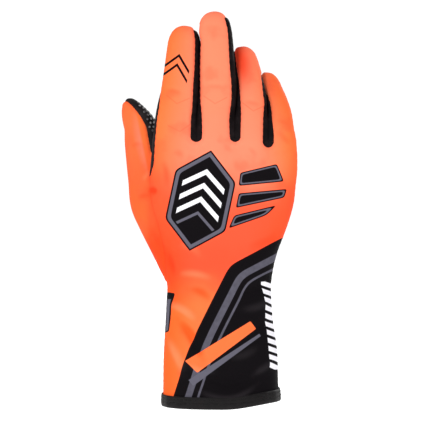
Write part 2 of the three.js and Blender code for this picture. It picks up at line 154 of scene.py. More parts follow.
@dataclass
class Digit:
    """A finger or the thumb: a tube with oval sections along a curved line."""

    middles: Array
    halves: Array
    squareness: float
    tip_power: float
    stations: int = 60
    root_reach: float = 8.0

    def __post_init__(self) -> None:
        """Lays evenly spaced stations along the line of the sections' middles."""
        steps = np.linalg.norm(np.diff(self.middles, axis=0), axis=1)
        chord = np.concatenate([[0], np.cumsum(steps)])
        at = np.linspace(0, chord[-1], self.stations)
        self.line = through_rows(chord, self.middles, at)
        self.half = through_rows(chord[:-1], self.halves, np.minimum(at, chord[-2]))
        self.step = at[1]
        self.tip_start = chord[-2]
        self.tip_reach = chord[-1] - chord[-2]
        along = np.gradient(self.line, axis=0)
        self.along = along / np.linalg.norm(along, axis=1)[:, None]
        wide = np.array([1.0, 0, 0]) - self.along * self.along[:, :1]
        self.wide = wide / np.linalg.norm(wide, axis=1)[:, None]
        self.deep = np.cross(self.along, self.wide)

    def place(self, points: Array) -> tuple[Array, Array]:
        """Finds where points are beside the line.

        Args:
            points: Points in millimetres.

        Returns:
            For each point its place along the line in stations, and its offsets across and
            deep from the line.
        """
        squares = (self.line**2).sum(1) - 2 * points @ self.line.T
        nearest = squares.argmin(1)
        forward = ((points - self.line[nearest]) * self.along[nearest]).sum(1)
        place = nearest + forward / self.step
        offset = points - self.blend(self.line, place)
        across = (offset * self.blend(self.wide, place)).sum(1)
        deep = (offset * self.blend(self.deep, place)).sum(1)
        return place, np.stack([across, deep], 1)

    def blend(self, rows: Array, place: Array) -> Array:
        """Blends rows of the stations.

        Args:
            rows: One row for each station.
            place: Places along the line, in stations.

        Returns:
            One row for each place.
        """
        inside = np.clip(place, 0, self.stations - 1)
        low = np.minimum(inside.astype(int), self.stations - 2)
        share = (inside - low)[:, None]
        return rows[low] * (1 - share) + rows[low + 1] * share

    def distance(self, points: Array) -> Array:
        """Distance of points from the digit's surface.

        Args:
            points: Points in millimetres.

        Returns:
            One distance for each point, below 0 inside.
        """
        place, offsets = self.place(points)
        run = place * self.step
        past = np.maximum(run - self.tip_start, 0) / self.tip_reach
        under = np.maximum(-run, 0) / self.root_reach
        length = np.where(run > 0, self.tip_reach, self.root_reach)
        ends = np.stack([past + under, length], 1)
        return oval_distance(offsets, self.blend(self.half, place), self.squareness, ends, self.tip_power)

    def end_share(self, run: float) -> float:
        """How thick the digit still is at a place in its rounded end, as a share."""
        past = max(run - self.tip_start, 0.0) / self.tip_reach
        return max(1 - past**self.tip_power, 0.0) ** (1 / self.tip_power)

    def middle_at(self, heights: Array) -> Array:
        """The line's points at some heights."""
        rise = self.line[:, 2]
        return np.stack([np.interp(heights, rise, self.line[:, axis]) for axis in range(3)], 1)

    def side_at(self, heights: Array, side: int) -> Array:
        """How far to the left (-1) or the right (1) the digit reaches at some heights."""
        return np.interp(heights, self.line[:, 2], self.line[:, 0] + side * self.half[:, 0])


@dataclass
class HandForm:
    """The outside of the glove as one form, from the frame's named sizes."""

    cuff_length: float = 84.6
    hand_length: float = 94.0
    finger_length: float = 89.2
    thumb_length: float = 119.0
    thumb_heel: float = 6.0
    mouth: Row = (78.4, 58.0)
    wrist: Row = (71.0, 45.0)
    hand: Row = (99.0, 35.0)
    finger: Row = (24.0, 21.6)
    finger_curl: float = 44.0
    thumb_size: Row = (25.0, 23.0)
    thumb_reach: float = 62.5
    thumb_curl: float = 17.0
    body_squareness: float = 2.5
    finger_squareness: float = 2.25
    tip_power: float = 2.44
    thumb_tip_power: float = 2.1
    top: Row = (0.02, 0.08, 0.19)
    finger_root_back: float = 0.12
    web_blend: float = 4.0
    thumb_blend: float = 3.0
    # How far round a digit its distance matters, and the thumb's distance beyond that
    digit_clear: float = 8.0
    thumb_far: float = 40.0
    # The slanted inner side of the thumb's tip: its outward direction, how far out it lies
    # and how softly it meets the rest
    tip_slant: Row = (0.675, 0.0, 0.737)
    tip_slant_out: float = 114.4
    tip_slant_blend: float = 3.6

    # Each row: up, flare in width, flare in depth, sideways shift
    cuff_rows: tuple[Row, ...] = (
        (0.0, 1.0, 1.0, 0.0),
        (0.12, 0.92, 0.9, -0.002),
        (0.26, 0.84, 0.72, -0.004),
        (0.39, 0.7, 0.55, -0.007),
        (0.54, 0.46, 0.36, -0.009),
        (0.7, 0.16, 0.18, -0.012),
        (0.85, -0.03, 0.06, -0.014),
    )
    # Each row: up, spread in width, spread in depth, sideways shift, shift to the back
    hand_rows: tuple[Row, ...] = (
        (0.0, 0.0, 0.0, -0.012, 0.0),
        (0.11, 0.11, 0.12, -0.013, 0.0),
        (0.22, 0.27, 0.26, -0.008, 0.0),
        (0.33, 0.5, 0.42, 0.0, 0.0),
        (0.44, 0.72, 0.58, 0.006, 0.0),
        (0.56, 0.915, 0.8, 0.009, 0.01),
        (0.68, 0.99, 1.1, 0.011, 0.03),
        (0.79, 1.0, 1.45, 0.02, 0.06),
        (0.89, 0.965, 1.85, 0.02, 0.09),
        (0.97, 0.88, 2.3, 0.02, 0.11),
    )
    # Each finger: length, thickness, depth and curl as shares, then rows of up, across,
    # width, depth and forward
    finger_rows: tuple[tuple[Row, tuple[Row, ...]], ...] = (
        ((0.89, 0.975, 0.99, 0.386), (
            (-0.38, -0.298, 0.95, 0.84, 0.0), (0.0, -0.3165, 1.21, 1.18, 0.0),
            (0.2, -0.309, 1.188, 1.09, 0.04), (0.4, -0.284, 1.11, 1.0, 0.16),
            (0.6, -0.271, 1.014, 0.97, 0.36), (0.8, -0.2605, 0.93, 0.9, 0.64),
            (1.0, -0.24, 0, 0, 1.0),
        )),
        ((1.0, 1.0, 1.0, 0.341), (
            (-0.34, -0.034, 0.88, 0.84, 0.0), (0.0, -0.0365, 1.01, 1.2, 0.0),
            (0.2, -0.035, 1.045, 1.1, 0.04), (0.4, -0.025, 1.022, 1.0, 0.16),
            (0.6, -0.0275, 0.99, 0.97, 0.36), (0.8, -0.035, 0.93, 0.9, 0.64),
            (1.0, -0.055, 0, 0, 1.0),
        )),
        ((0.734, 0.875, 0.944, 0.818), (
            (-0.44, 0.208, 0.88, 0.84, 0.0), (0.0, 0.2105, 1.0, 1.2, 0.0),
            (0.2, 0.206, 1.035, 1.1, 0.05), (0.4, 0.209, 0.998, 1.01, 0.18),
            (0.6, 0.1995, 0.925, 0.98, 0.38), (0.8, 0.175, 0.86, 0.92, 0.66),
            (1.0, 0.143, 0, 0, 1.0),
        )),
        ((0.534, 0.725, 0.815, 1.0), (
            (-0.6, 0.398, 0.82, 0.8, 0.0), (-0.08, 0.421, 1.0, 1.22, 0.0),
            (0.16, 0.411, 1.0, 1.1, 0.06), (0.38, 0.402, 0.96, 1.01, 0.2),
            (0.58, 0.379, 0.93, 0.98, 0.4), (0.78, 0.348, 0.9, 0.93, 0.68),
            (1.0, 0.318, 0, 0, 1.0),
        )),
    )
    thumb_rows: tuple[Row, ...] = (
        (-0.06, -0.42, 0.7, 0.8, 0.08), (0.0, -0.46, 0.86, 0.95, 0.12),
        (0.11, -0.535, 1.0, 1.12, 0.22), (0.2, -0.595, 1.12, 1.22, 0.3),
        (0.3, -0.672, 1.2, 1.24, 0.4), (0.39, -0.742, 1.23, 1.2, 0.5),
        (0.53, -0.79, 1.14, 1.12, 0.62), (0.66, -0.83, 1.07, 1.04, 0.74),
        (0.75, -0.858, 1.01, 1.0, 0.84), (0.84, -0.887, 0.9, 0.92, 0.92),
        (1.0, -1.015, 0, 0, 1.0),
    )

    # How far the fingers are drawn apart while the form is meshed, and between which heights
    spread: float = 6.0
    spread_from: float = 166.0
    spread_to: float = 190.0
    # How far below that height the fingers' sides are fully drawn together
    touch_lead: float = 6.0
    web_height: float = 198.0
    web_clear: float = 206.0
    least_slit: float = 0.3
    # Where the fingers touch: how near the sides are drawn, low and high, and over what width
    touch_low: float = 0.03
    touch_high: float = -0.2
    touch_reach: float = 5.0

    def __post_init__(self) -> None:
        """Turns the share tables into sections and lines in millimetres."""
        rows = []
        for up, wide, deep, shift in self.cuff_rows:
            halves = [self.mix(self.wrist[i], self.mouth[i], s) / 2 for i, s in enumerate((wide, deep))]
            rows.append([up * self.cuff_length, shift * self.hand[0], 0.0, *halves])
        for up, wide, deep, shift, back in self.hand_rows:
            halves = [self.mix(self.wrist[i], self.hand[i], s) / 2 for i, s in enumerate((wide, deep))]
            height = self.cuff_length + up * self.hand_length
            rows.append([height, shift * self.hand[0], -back * self.hand[1], *halves])
        self.body_rows = np.array(rows)
        self.crotch = self.cuff_length + self.hand_length
        self.crown = np.array([
            self.top[0] * self.hand[0], self.top[1] * self.hand[1],
            self.crotch + self.top[2] * self.hand_length,
        ])
        self.fingers = [self.finger_of(shares, rows) for shares, rows in self.finger_rows]
        place = [
            (across * self.thumb_reach, forward * self.thumb_curl,
             self.cuff_length + self.thumb_heel + up * self.thumb_length)
            for up, across, _, _, forward in self.thumb_rows
        ]
        self.thumb = self.digit_of(place, self.thumb_rows, self.thumb_size)
        self.thumb.tip_power = self.thumb_tip_power

    @staticmethod
    def mix(start: float, end: float, share: float) -> float:
        """A value between start and end, or past them."""
        return start + (end - start) * share

    def finger_of(self, shares: Row, rows: tuple[Row, ...]) -> Digit:
        """Makes a finger.

        Args:
            shares: Its length, thickness, depth and curl, as shares of the hand's sizes.
            rows: Its sections.

        Returns:
            The finger.
        """
        long, thick, tall, curled = shares
        root = -self.finger_root_back * self.hand[1]
        place = [
            (across * self.hand[0], root + forward * curled * self.finger_curl,
             self.crotch + up * long * self.finger_length)
            for up, across, _, _, forward in rows
        ]
        return self.digit_of(place, rows, (thick * self.finger[0], tall * self.finger[1]))

    def digit_of(self, place: list[Row], rows: tuple[Row, ...], size: Row) -> Digit:
        """A digit from the middles of its sections and their shares of its size."""
        halves = [(wide * size[0] / 2, deep * size[1] / 2) for _, _, wide, deep, _ in rows[:-1]]
        return Digit(np.array(place), np.array(halves), self.finger_squareness, self.tip_power)

    def body_at(self, heights: Array) -> Array:
        """Middle x, middle y, half width and half depth of the body at some heights."""
        return through_rows(self.body_rows[:, 0], self.body_rows[:, 1:], heights)

    def body_distance(self, points: Array) -> Array:
        """Distance of points from the cuff and hand without fingers.

        Args:
            points: Points in millimetres.

        Returns:
            One distance for each point, below 0 inside.
        """
        last = self.body_rows[-1]
        start = np.array([last[1], last[2], last[0]])
        lean = self.crown - start
        length = np.linalg.norm(lean[1:])
        rise = (points[:, 1] - start[1]) * lean[1] + (points[:, 2] - start[2]) * lean[2]
        past = np.maximum(rise / length**2, 0)
        rows = self.body_at(points[:, 2])
        offsets = points[:, :2] - rows[:, :2] - past[:, None] * lean[:2]
        ends = np.stack([past, np.full(len(points), length)], 1)
        return oval_distance(offsets, rows[:, 2:], self.body_squareness, ends, self.tip_power)

    def shifts(self, heights: Array) -> Array:
        """How far each finger's lane is drawn sideways at some heights."""
        opening = self.spread * smoothstep(self.spread_from, self.spread_to, heights)
        return np.outer(opening, (-1, 0, 1, 2))

    def slits(self, heights: Array) -> tuple[Array, Array]:
        """Finds the slits between the fingers.

        Args:
            heights: Where the slits are wanted.

        Returns:
            The middle and the half width of each slit.
        """
        left = np.stack([f.side_at(heights, 1) for f in self.fingers[:-1]], 1)
        right = np.stack([f.side_at(heights, -1) for f in self.fingers[1:]], 1)
        return (left + right) / 2, np.maximum((right - left) / 2, self.least_slit / 2)

    def gathered(self, points: Array, touch: bool = True) -> tuple[Array, Array]:
        """Moves points of the spread form back to the real one.

        Args:
            points: Points of the form with its fingers drawn apart.
            touch: Whether the sides of neighbouring fingers are drawn together.

        Returns:
            The points in the real form, and the lane of each: 0 for the index finger.
        """
        heights = points[:, 2]
        middle, half = self.slits(heights)
        shift = self.shifts(heights)
        across = points[:, 0].copy()
        lane = np.zeros(len(points), int)
        above = smoothstep(self.web_height, self.web_clear, heights)
        real = points[:, 0] - shift[:, 0]
        for slit in range(middle.shape[1]):
            start = middle[:, slit] - half[:, slit] + shift[:, slit]
            end = middle[:, slit] + half[:, slit] + shift[:, slit + 1]
            squeezed = middle[:, slit] + half[:, slit] * ((across - start) / (end - start) * 2 - 1)
            beyond = across > (start + end) / 2
            lane[beyond] = slit + 1
            moved = across - np.where(beyond, shift[:, slit + 1], shift[:, slit])
            inside = (across > start) & (across < end)
            real = np.where(across >= end, across - shift[:, slit + 1], real)
            real = np.where(inside, squeezed * (1 - above) + moved * above, real)
        if touch:
            real = self.touching(real, heights, lane, middle, half)
        return np.column_stack([real, points[:, 1:]]), lane

    def touching(self, across: Array, heights: Array, lane: Array, middle: Array, half: Array) -> Array:
        """Draws the sides of neighbouring fingers together, so that no light shows between.

        Args:
            across: The x of each point in the real form.
            heights: The height of each point.
            lane: The finger lane of each point.
            middle: The middle of each slit beside each point.
            half: The half width of each slit beside each point.

        Returns:
            The new x of each point.
        """
        gap = self.mix(self.touch_low, self.touch_high, smoothstep(self.web_height, self.web_clear, heights))
        start = smoothstep(self.spread_from, self.spread_to - self.touch_lead, heights)
        moved = across.copy()
        for slit in range(middle.shape[1]):
            for side in (-1, 1):
                own = lane == slit + (1 if side > 0 else 0)
                inside = side * (across - middle[:, slit]) - half[:, slit]
                pull = (half[:, slit] - gap) * (1 - smoothstep(0, self.touch_reach, inside))
                held = np.clip(inside / np.maximum(half[:, slit], TINY) + 1, 0, 1)
                moved -= np.where(own, side * pull * held * start, 0)
        return moved

    def parts(self, points: Array) -> tuple[Array, Array]:
        """Distances of points of the spread form.

        Args:
            points: Points in millimetres.

        Returns:
            The distances from the hand with its fingers, and from the thumb.
        """
        shift = self.shifts(points[:, 2])
        real, _ = self.gathered(points, False)
        body = self.body_distance(real)
        hand = body.copy()
        for lane, finger in enumerate(self.fingers):
            low, high = self.reach_of(finger)
            moved = points - np.outer(shift[:, lane], [1, 0, 0])
            near = ((moved > low) & (moved < high)).all(1)
            if near.any():
                joined = soft_minimum(body[near], finger.distance(moved[near]), self.web_blend)
                hand[near] = np.minimum(hand[near], joined)
        thumb = np.full(len(points), self.thumb_far)
        low, high = self.reach_of(self.thumb)
        near = ((real > low) & (real < high)).all(1)
        if near.any():
            slant = real[near] @ np.array(self.tip_slant) - self.tip_slant_out
            thumb[near] = -soft_minimum(-self.thumb.distance(real[near]), -slant, self.tip_slant_blend)
        return hand, thumb

    def reach_of(self, digit: Digit) -> tuple[Array, Array]:
        """The box round a digit in which its distance matters."""
        margin = digit.half.max() + self.digit_clear
        return digit.line.min(0) - margin, digit.line.max(0) + margin

    def distance(self, points: Array) -> Array:
        """Distance of points from the whole spread form, below 0 inside."""
        hand, thumb = self.parts(points)
        return soft_minimum(hand, thumb, self.thumb_blend)


@dataclass
class Sheet:
    """A triangle mesh with values on its points, which can be cut along lines."""

    points: Array
    triangles: Array
    values: dict[str, Array] = field(default_factory=dict)
    region: Array = field(default_factory=lambda: np.zeros(0, int))
    snap: float = 0.22

    def edges(self, triangles: Array) -> Array:
        """The edges of some triangles, each once, its lower point first."""
        pairs = np.concatenate([triangles[:, [0, 1]], triangles[:, [1, 2]], triangles[:, [2, 0]]])
        return np.unique(np.sort(pairs, axis=1), axis=0)

    def normals(self) -> Array:
        """Finds the unit normal at each point.

        Returns:
            One normal for each point.
        """
        a, b, c = (self.points[self.triangles[:, i]] for i in range(3))
        face = np.cross(b - a, c - a)
        normal = np.zeros_like(self.points)
        for corner in range(3):
            np.add.at(normal, self.triangles[:, corner], face)
        return normal / np.maximum(np.linalg.norm(normal, axis=1), TINY)[:, None]

    def slopes(self, name: str) -> Array:
        """Finds how a value rises over the surface.

        Args:
            name: The value's name.

        Returns:
            A vector for each point.
        """
        a, b, c = (self.points[self.triangles[:, i]] for i in range(3))
        value = [self.values[name][self.triangles[:, i]][:, None] for i in range(3)]
        face = np.cross(b - a, c - a)
        area = np.maximum((face**2).sum(1), TINY)[:, None]
        slope = np.cross(face, (c - b) * value[0] + (a - c) * value[1] + (b - a) * value[2]) / area
        weight = np.sqrt(area)
        total = np.zeros_like(self.points)
        share = np.zeros(len(self.points))
        for corner in range(3):
            np.add.at(total, self.triangles[:, corner], slope * weight)
            np.add.at(share, self.triangles[:, corner], weight[:, 0])
        return total / np.maximum(share, TINY)[:, None]

    def arrays(self) -> list[Array]:
        """The points and all values on them."""
        return [self.points, *self.values.values()]

    def cut(self, name: str, chosen: Array) -> None:
        """Splits triangles where a value passes 0, so that none of them spans the line.

        Args:
            name: The value to cut by.
            chosen: Which triangles the cut may split.
        """
        value = self.values[name]
        first, second = self.edges(self.triangles[chosen]).T
        crossing = value[first] * value[second] < 0
        first, second = first[crossing], second[crossing]
        share = value[first] / (value[first] - value[second])
        flip = share > 0.5
        near = np.where(flip, second, first)
        other = np.where(flip, first, second)
        share = np.where(flip, 1 - share, share)
        order = np.argsort(-share)
        order = order[share[order] < self.snap]
        moves = {point: (other[i], share[i]) for i, point in zip(order, near[order])}
        if moves:
            points = np.array(list(moves))
            towards = np.array([m[0] for m in moves.values()])
            part = np.array([m[1] for m in moves.values()])
            for array in self.arrays():
                scale = part.reshape(-1, *([1] * (array.ndim - 1)))
                array[points] = array[points] + (array[towards] - array[points]) * scale
            value[points] = 0.0
        self.split(name, chosen)

    def split(self, name: str, chosen: Array) -> None:
        """Adds the points where a value passes 0, and divides the triangles there.

        Args:
            name: The value to cut by.
            chosen: Which triangles may be divided.
        """
        value = self.values[name]
        pairs = self.edges(self.triangles[chosen])
        pairs = pairs[value[pairs[:, 0]] * value[pairs[:, 1]] < 0]
        count = len(self.points)
        share = value[pairs[:, 0]] / (value[pairs[:, 0]] - value[pairs[:, 1]])
        grown = []
        for array in self.arrays():
            scale = share.reshape(-1, *([1] * (array.ndim - 1)))
            added = array[pairs[:, 0]] * (1 - scale) + array[pairs[:, 1]] * scale
            grown.append(np.concatenate([array, added]))
        self.points = grown[0]
        self.values = dict(zip(self.values, grown[1:]))
        value = self.values[name]
        value[count:] = 0.0
        keys = pairs[:, 0] * count + pairs[:, 1]
        kept, regions = [self.triangles[~chosen]], [self.region[~chosen]]
        triangles, region = self.triangles[chosen], self.region[chosen]
        side = np.sign(value[triangles]).astype(int)
        # Turn each triangle until its odd corner comes first
        turn = np.zeros(len(triangles), int)
        total = side.sum(1)
        mixed = (side.max(1) > 0) & (side.min(1) < 0)
        has_zero = (side == 0).any(1)
        turn[mixed & has_zero] = (side[mixed & has_zero] == 0).argmax(1)
        lone = mixed & ~has_zero
        turn[lone] = (side[lone] == -total[lone][:, None]).argmax(1)
        column = (turn[:, None] + np.arange(3)) % 3
        turned = np.take_along_axis(triangles, column, 1)
        kept.append(triangles[~mixed])
        regions.append(region[~mixed])
        a, b, c = turned[mixed & has_zero].T
        middle = self.middle_of(b, c, keys, count)
        kept += [np.stack([a, b, middle], 1), np.stack([a, middle, c], 1)]
        regions += [region[mixed & has_zero]] * 2
        a, b, c = turned[lone].T
        ab, ca = self.middle_of(a, b, keys, count), self.middle_of(c, a, keys, count)
        kept += [np.stack([a, ab, ca], 1), np.stack([ab, b, c], 1), np.stack([ab, c, ca], 1)]
        regions += [region[lone]] * 3
        self.triangles = np.concatenate(kept)
        self.region = np.concatenate(regions)

    @staticmethod
    def middle_of(a: Array, b: Array, keys: Array, count: int) -> Array:
        """The added points on the edges from a to b."""
        key = np.minimum(a, b) * count + np.maximum(a, b)
        return count + np.searchsorted(keys, key)

    def tree(self) -> BVHTree:
        """A search tree of the triangles."""
        return BVHTree.FromPolygons(self.points.tolist(), self.triangles.tolist())

    def mean(self, name: str) -> Array:
        """A value in the middle of each triangle."""
        return self.values[name][self.triangles].mean(1)


@dataclass
class NetMesher:
    """Turns a form that is given by distances into an even triangle mesh."""

    form: HandForm
    low: Row = (-84.0, -36.0, -7.0)
    high: Row = (68.0, 52.0, 272.0)
    cell: float = 1.2
    rounds: int = 3
    probe: float = 0.15
    longest_move: float = 0.8
    # The lowest square of a slope that a step is divided by
    least_slope: float = 0.05
    # How many coarse cells away from the surface the fine pass still covers
    coarse_reach: float = 2.2
    # How many points are measured at a time
    chunk: int = 150000

    def distances(self, points: Array) -> Array:
        """Distances of many points, some at a time."""
        parts = [self.form.distance(points[i:i + self.chunk]) for i in range(0, len(points), self.chunk)]
        return np.concatenate(parts)

    def grid(self) -> Array:
        """Measures distances on a grid: a coarse pass finds the surface, a fine one fills its cells.

        Returns:
            The distances at the grid's corners.
        """
        shape = [int((high - low) / self.cell) + 1 for low, high in zip(self.low, self.high)]
        coarse_step = 4
        coarse = [np.arange(0, count + coarse_step, coarse_step) for count in shape]
        places = np.stack(np.meshgrid(*coarse, indexing="ij"), -1).reshape(-1, 3)
        rough = self.distances(places * self.cell + self.low).reshape([len(c) for c in coarse])
        near = np.abs(rough) < self.cell * coarse_step * self.coarse_reach
        values = rough
        for axis, count in enumerate(shape):
            near = np.repeat(near, coarse_step, axis).take(range(count), axis)
            values = np.repeat(values, coarse_step, axis).take(range(count), axis)
        # A block is fine where any coarse corner of it is near the surface
        grown = near.copy()
        for axis in range(3):
            grown |= np.roll(grown, coarse_step, axis)
        places = np.argwhere(grown)
        values[grown] = self.distances(places * self.cell + self.low)
        return values

    def sheet(self) -> Sheet:
        """Meshes the form.

        Returns:
            The meshed form, its points moved onto the surface.
        """
        values = self.grid()
        inside = values < 0
        shape = np.array(values.shape)
        cells, spots, quads = [], [], []
        for axis in range(3):
            a = np.delete(values, -1, axis)
            b = np.delete(values, 0, axis)
            start = np.argwhere((a < 0) != (b < 0))
            from_value, to_value = a[tuple(start.T)], b[tuple(start.T)]
            spot = start.astype(float)
            spot[:, axis] += from_value / (from_value - to_value)
            u, v = (axis + 1) % 3, (axis + 2) % 3
            corners = []
            for step_u, step_v in ((-1, -1), (0, -1), (0, 0), (-1, 0)):
                cell = start.copy()
                cell[:, u] += step_u
                cell[:, v] += step_v
                corners.append(np.ravel_multi_index(tuple(np.clip(cell, 0, shape - 1).T), shape))
                cells.append(corners[-1])
                spots.append(spot)
            quad = np.stack(corners, 1)
            outward = inside[tuple(start.T)]
            quads.append(np.where(outward[:, None], quad, quad[:, ::-1]))
        names, place = np.unique(np.concatenate(cells), return_inverse=True)
        spots = np.concatenate(spots)
        count = np.bincount(place)
        points = np.stack([np.bincount(place, spots[:, k]) / count for k in range(3)], 1)
        quads = np.searchsorted(names, np.concatenate(quads))
        points = points * self.cell + self.low
        for _ in range(self.rounds):
            points = self.settled(self.relaxed(points, quads))
        points = self.settled(points)
        return Sheet(points, self.halved(points, quads))

    def relaxed(self, points: Array, quads: Array) -> Array:
        """Moves points halfway to the middle of their neighbours.

        Args:
            points: The mesh's points.
            quads: Its faces.

        Returns:
            The moved points.
        """
        total = np.zeros_like(points)
        count = np.zeros(len(points))
        for corner in range(4):
            for step in (1, 3):
                np.add.at(total, quads[:, corner], points[quads[:, (corner + step) % 4]])
                np.add.at(count, quads[:, corner], 1)
        return points + (total / np.maximum(count, 1)[:, None] - points) * 0.5

    def settled(self, points: Array) -> Array:
        """Moves points onto the form's surface by one step.

        Args:
            points: The mesh's points.

        Returns:
            The moved points.
        """
        value = self.distances(points)
        slope = np.zeros_like(points)
        for axis in range(3):
            step = np.zeros(3)
            step[axis] = self.probe
            rise = self.distances(points + step) - self.distances(points - step)
            slope[:, axis] = rise / (2 * self.probe)
        move = -(value / np.maximum((slope**2).sum(1), self.least_slope))[:, None] * slope
        size = np.linalg.norm(move, axis=1)[:, None]
        return points + move * np.minimum(1, self.longest_move / np.maximum(size, TINY))

    @staticmethod
    def halved(points: Array, quads: Array) -> Array:
        """Divides quads into triangles along their shorter diagonals.

        Args:
            points: The mesh's points.
            quads: Its faces.

        Returns:
            Two triangles for each quad.
        """
        a, b, c, d = (points[quads[:, i]] for i in range(4))
        short = np.linalg.norm(a - c, axis=1) < np.linalg.norm(b - d, axis=1)
        one = np.where(short[:, None], quads[:, [0, 1, 2]], quads[:, [0, 1, 3]])
        two = np.where(short[:, None], quads[:, [0, 2, 3]], quads[:, [1, 2, 3]])
        return np.concatenate([one, two])


@dataclass
class SeamPlan:
    """Where the seams run, as values on the sheet that pass 0 along each seam."""

    form: HandForm
    hem_top: float = 1.8
    palm_seam_height: float = 81.0
    thumb_turn: float = math.radians(22)
    # Between which limits the thumb seam's value is evened out by its slope
    thumb_slope: Row = (0.25, 3.0)
    # How far under a finger's root the side seam leaves the hand's own line, and how far over
    # the fingertip it runs on
    root_gap: float = 1.4
    over_tip: float = 60.0
    # Above which height the thumb's seam leans to the outside, and how steeply
    thumb_lean_from: float = 189.5
    thumb_lean: float = 0.2
    # Each cut: the seam's value, the side of it that becomes a panel of its own, from which
    # panel and which one
    cuts: tuple[tuple[str, int, Panel, Panel], ...] = (
        ("thumb", 1, Panel.BACK, Panel.THUMB_BACK),
        ("thumb_side", 1, Panel.THUMB_BACK, Panel.THUMB_PALM),
        ("strip_0", -1, Panel.BACK, Panel.INDEX_MIDDLE),
        ("strip_1", -1, Panel.BACK, Panel.MIDDLE_RING),
        ("strip_2", -1, Panel.BACK, Panel.RING_LITTLE),
        ("side", 1, Panel.BACK, Panel.PALM),
        ("palm_end", -1, Panel.PALM, Panel.CUFF_UNDERSIDE),
    )
    # Side strips between the fingers as seen from the back. Each row: height, left edge,
    # right edge
    strips: tuple[tuple[Row, ...], ...] = (
        (
            (182.0, -20.5, -12.9), (185.6, -20.3, -12.9), (193.8, -20.0, -13.2),
            (199.9, -19.3, -13.6), (205.3, -19.0, -14.2), (216.9, -18.6, -14.6),
            (227.8, -17.8, -14.6), (239.4, -17.5, -14.4), (250.2, -17.6, -14.9),
            (254.0, -18.2, -16.8), (256.3, -18.3, -17.4),
        ),
        (
            (182.0, 5.9, 13.0), (188.4, 5.8, 13.0), (193.8, 5.8, 13.2), (199.9, 6.4, 13.2),
            (205.4, 7.1, 12.9), (216.9, 7.3, 12.2), (227.8, 6.3, 10.8), (239.4, 5.6, 9.6),
            (250.2, 5.1, 8.5), (256.4, 4.5, 7.3), (261.4, 3.3, 4.8), (264.3, 2.7, 4.0),
        ),
        (
            (179.0, 28.0, 35.4), (182.9, 28.2, 35.4), (188.4, 28.4, 35.0), (193.8, 28.6, 34.4),
            (199.9, 29.2, 34.0), (205.4, 29.7, 33.3), (210.8, 29.0, 31.9), (214.2, 28.7, 30.2),
            (216.9, 28.5, 29.0), (225.1, 27.9, 28.2),
        ),
    )
    strip_feet: Row = (178.4, 178.4, 174.7)
    # How far a strip's upper end climbs for each millimetre towards the palm, and the depth
    # below a finger's middle line where the climb starts, as a share of its half depth
    end_climb: float = 1.1
    end_start: float = 0.3
    # How far the side seam of the index finger and the hand turns to the back, and between
    # which heights
    # The black palm that this turn shows at the index finger's left edge is painted shade between the thumb
    # and the index finger
    shade_turn_back: float = 5.6
    turn_rise: Row = (150.0, 166.0, 200.0, 218.0)

    def strip_value(self, points: Array, lane: Array, strip: int) -> Array:
        """Finds how far points are from a side strip.

        Args:
            points: Points of the real form.
            lane: The finger lane of each point.
            strip: Which strip: 0 is beside the index finger.

        Returns:
            Distance outside the strip's outline, below 0 inside. A strip covers the whole
            facing sides of its two fingers.
        """
        rows = np.array(self.strips[strip])
        edges = through_rows(rows[:, 0], rows[:, 1:], points[:, 2])
        middle, half = edges.mean(1), (edges[:, 1] - edges[:, 0]) / 2
        across = np.abs(points[:, 0] - middle)
        foot, shoulder = self.strip_feet[strip], rows[0, 0]
        under = np.maximum(shoulder - points[:, 2], 0) / (shoulder - foot)
        radius = np.sqrt((across / half) ** 2 + under**2)
        round_foot = (radius - 1) * np.where(under > 0, shoulder - foot, half)
        side = np.where(lane <= strip, edges[:, 0] - points[:, 0], points[:, 0] - edges[:, 1])
        finger = self.form.fingers[strip]
        line = finger.middle_at(points[:, 2])
        start = line[:, 1] - self.end_start * finger.halves[-1, 1]
        climb = np.maximum(points[:, 1] - start, 0) * self.end_climb
        top = (points[:, 2] - rows[-1, 0] - climb) / math.hypot(1, self.end_climb)
        return np.maximum(np.where(under > 0, round_foot, side), top)

    def back_line(self, lane: Array, heights: Array) -> tuple[Array, Array]:
        """Finds where the side seam runs.

        Args:
            lane: The finger lane of each point.
            heights: The height of each point.

        Returns:
            The seam's depth beside each point, and how much it leans forward there.
        """
        body = self.form.body_rows
        lines = []
        for finger in self.form.fingers:
            root = finger.middles[1, 2]
            low = body[body[:, 0] < root - self.root_gap]
            high = finger.line[finger.line[:, 2] >= root]
            rise = np.concatenate([low[:, 0], high[:, 2], [high[-1, 2] + self.over_tip]])
            depth = np.concatenate([low[:, 2], high[:, 1], [high[-1, 1]]])
            lines.append(np.stack([
                np.interp(heights, rise, depth),
                np.interp(heights + 0.5, rise, depth) - np.interp(heights - 0.5, rise, depth),
            ]))
        depth, lean = (np.choose(lane, [line[i] for line in lines]) for i in range(2))
        low, full, full_end, high = self.turn_rise
        turned = smoothstep(low, full, heights) * (1 - smoothstep(full_end, high, heights))
        # Where the seam turns to the back, the black palm shows as a line of painted shade between the thumb
        # and the index finger
        return depth - self.shade_turn_back * turned * (lane == 0), lean

    def mark(self, sheet: Sheet, lane: Array, hand: Array, thumb: Array) -> None:
        """Writes the seam values on a sheet.

        Args:
            sheet: The sheet, whose points are in the real form.
            lane: The finger lane of each point.
            hand: Distance of each point from the hand.
            thumb: Distance of each point from the thumb.
        """
        points = sheet.points
        depth, lean = self.back_line(lane, points[:, 2])
        line = self.form.thumb.middle_at(points[:, 2])
        facing = np.array([math.cos(self.thumb_turn), math.sin(self.thumb_turn), 0])
        lean_out = self.thumb_lean * np.maximum(points[:, 2] - self.thumb_lean_from, 0)
        values = {
            "hem": points[:, 2] - self.hem_top,
            "thumb": hand - thumb,
            "thumb_side": (points - line) @ facing + lean_out,
            **{f"strip_{i}": self.strip_value(points, lane, i) for i in range(3)},
            "side": (points[:, 1] - depth) / np.sqrt(1 + lean**2),
            "palm_end": points[:, 2] - self.palm_seam_height,
        }
        sheet.values.update(values)
        slope = np.linalg.norm(sheet.slopes("thumb"), axis=1)
        sheet.values["thumb"] = sheet.values["thumb"] / np.clip(slope, *self.thumb_slope)

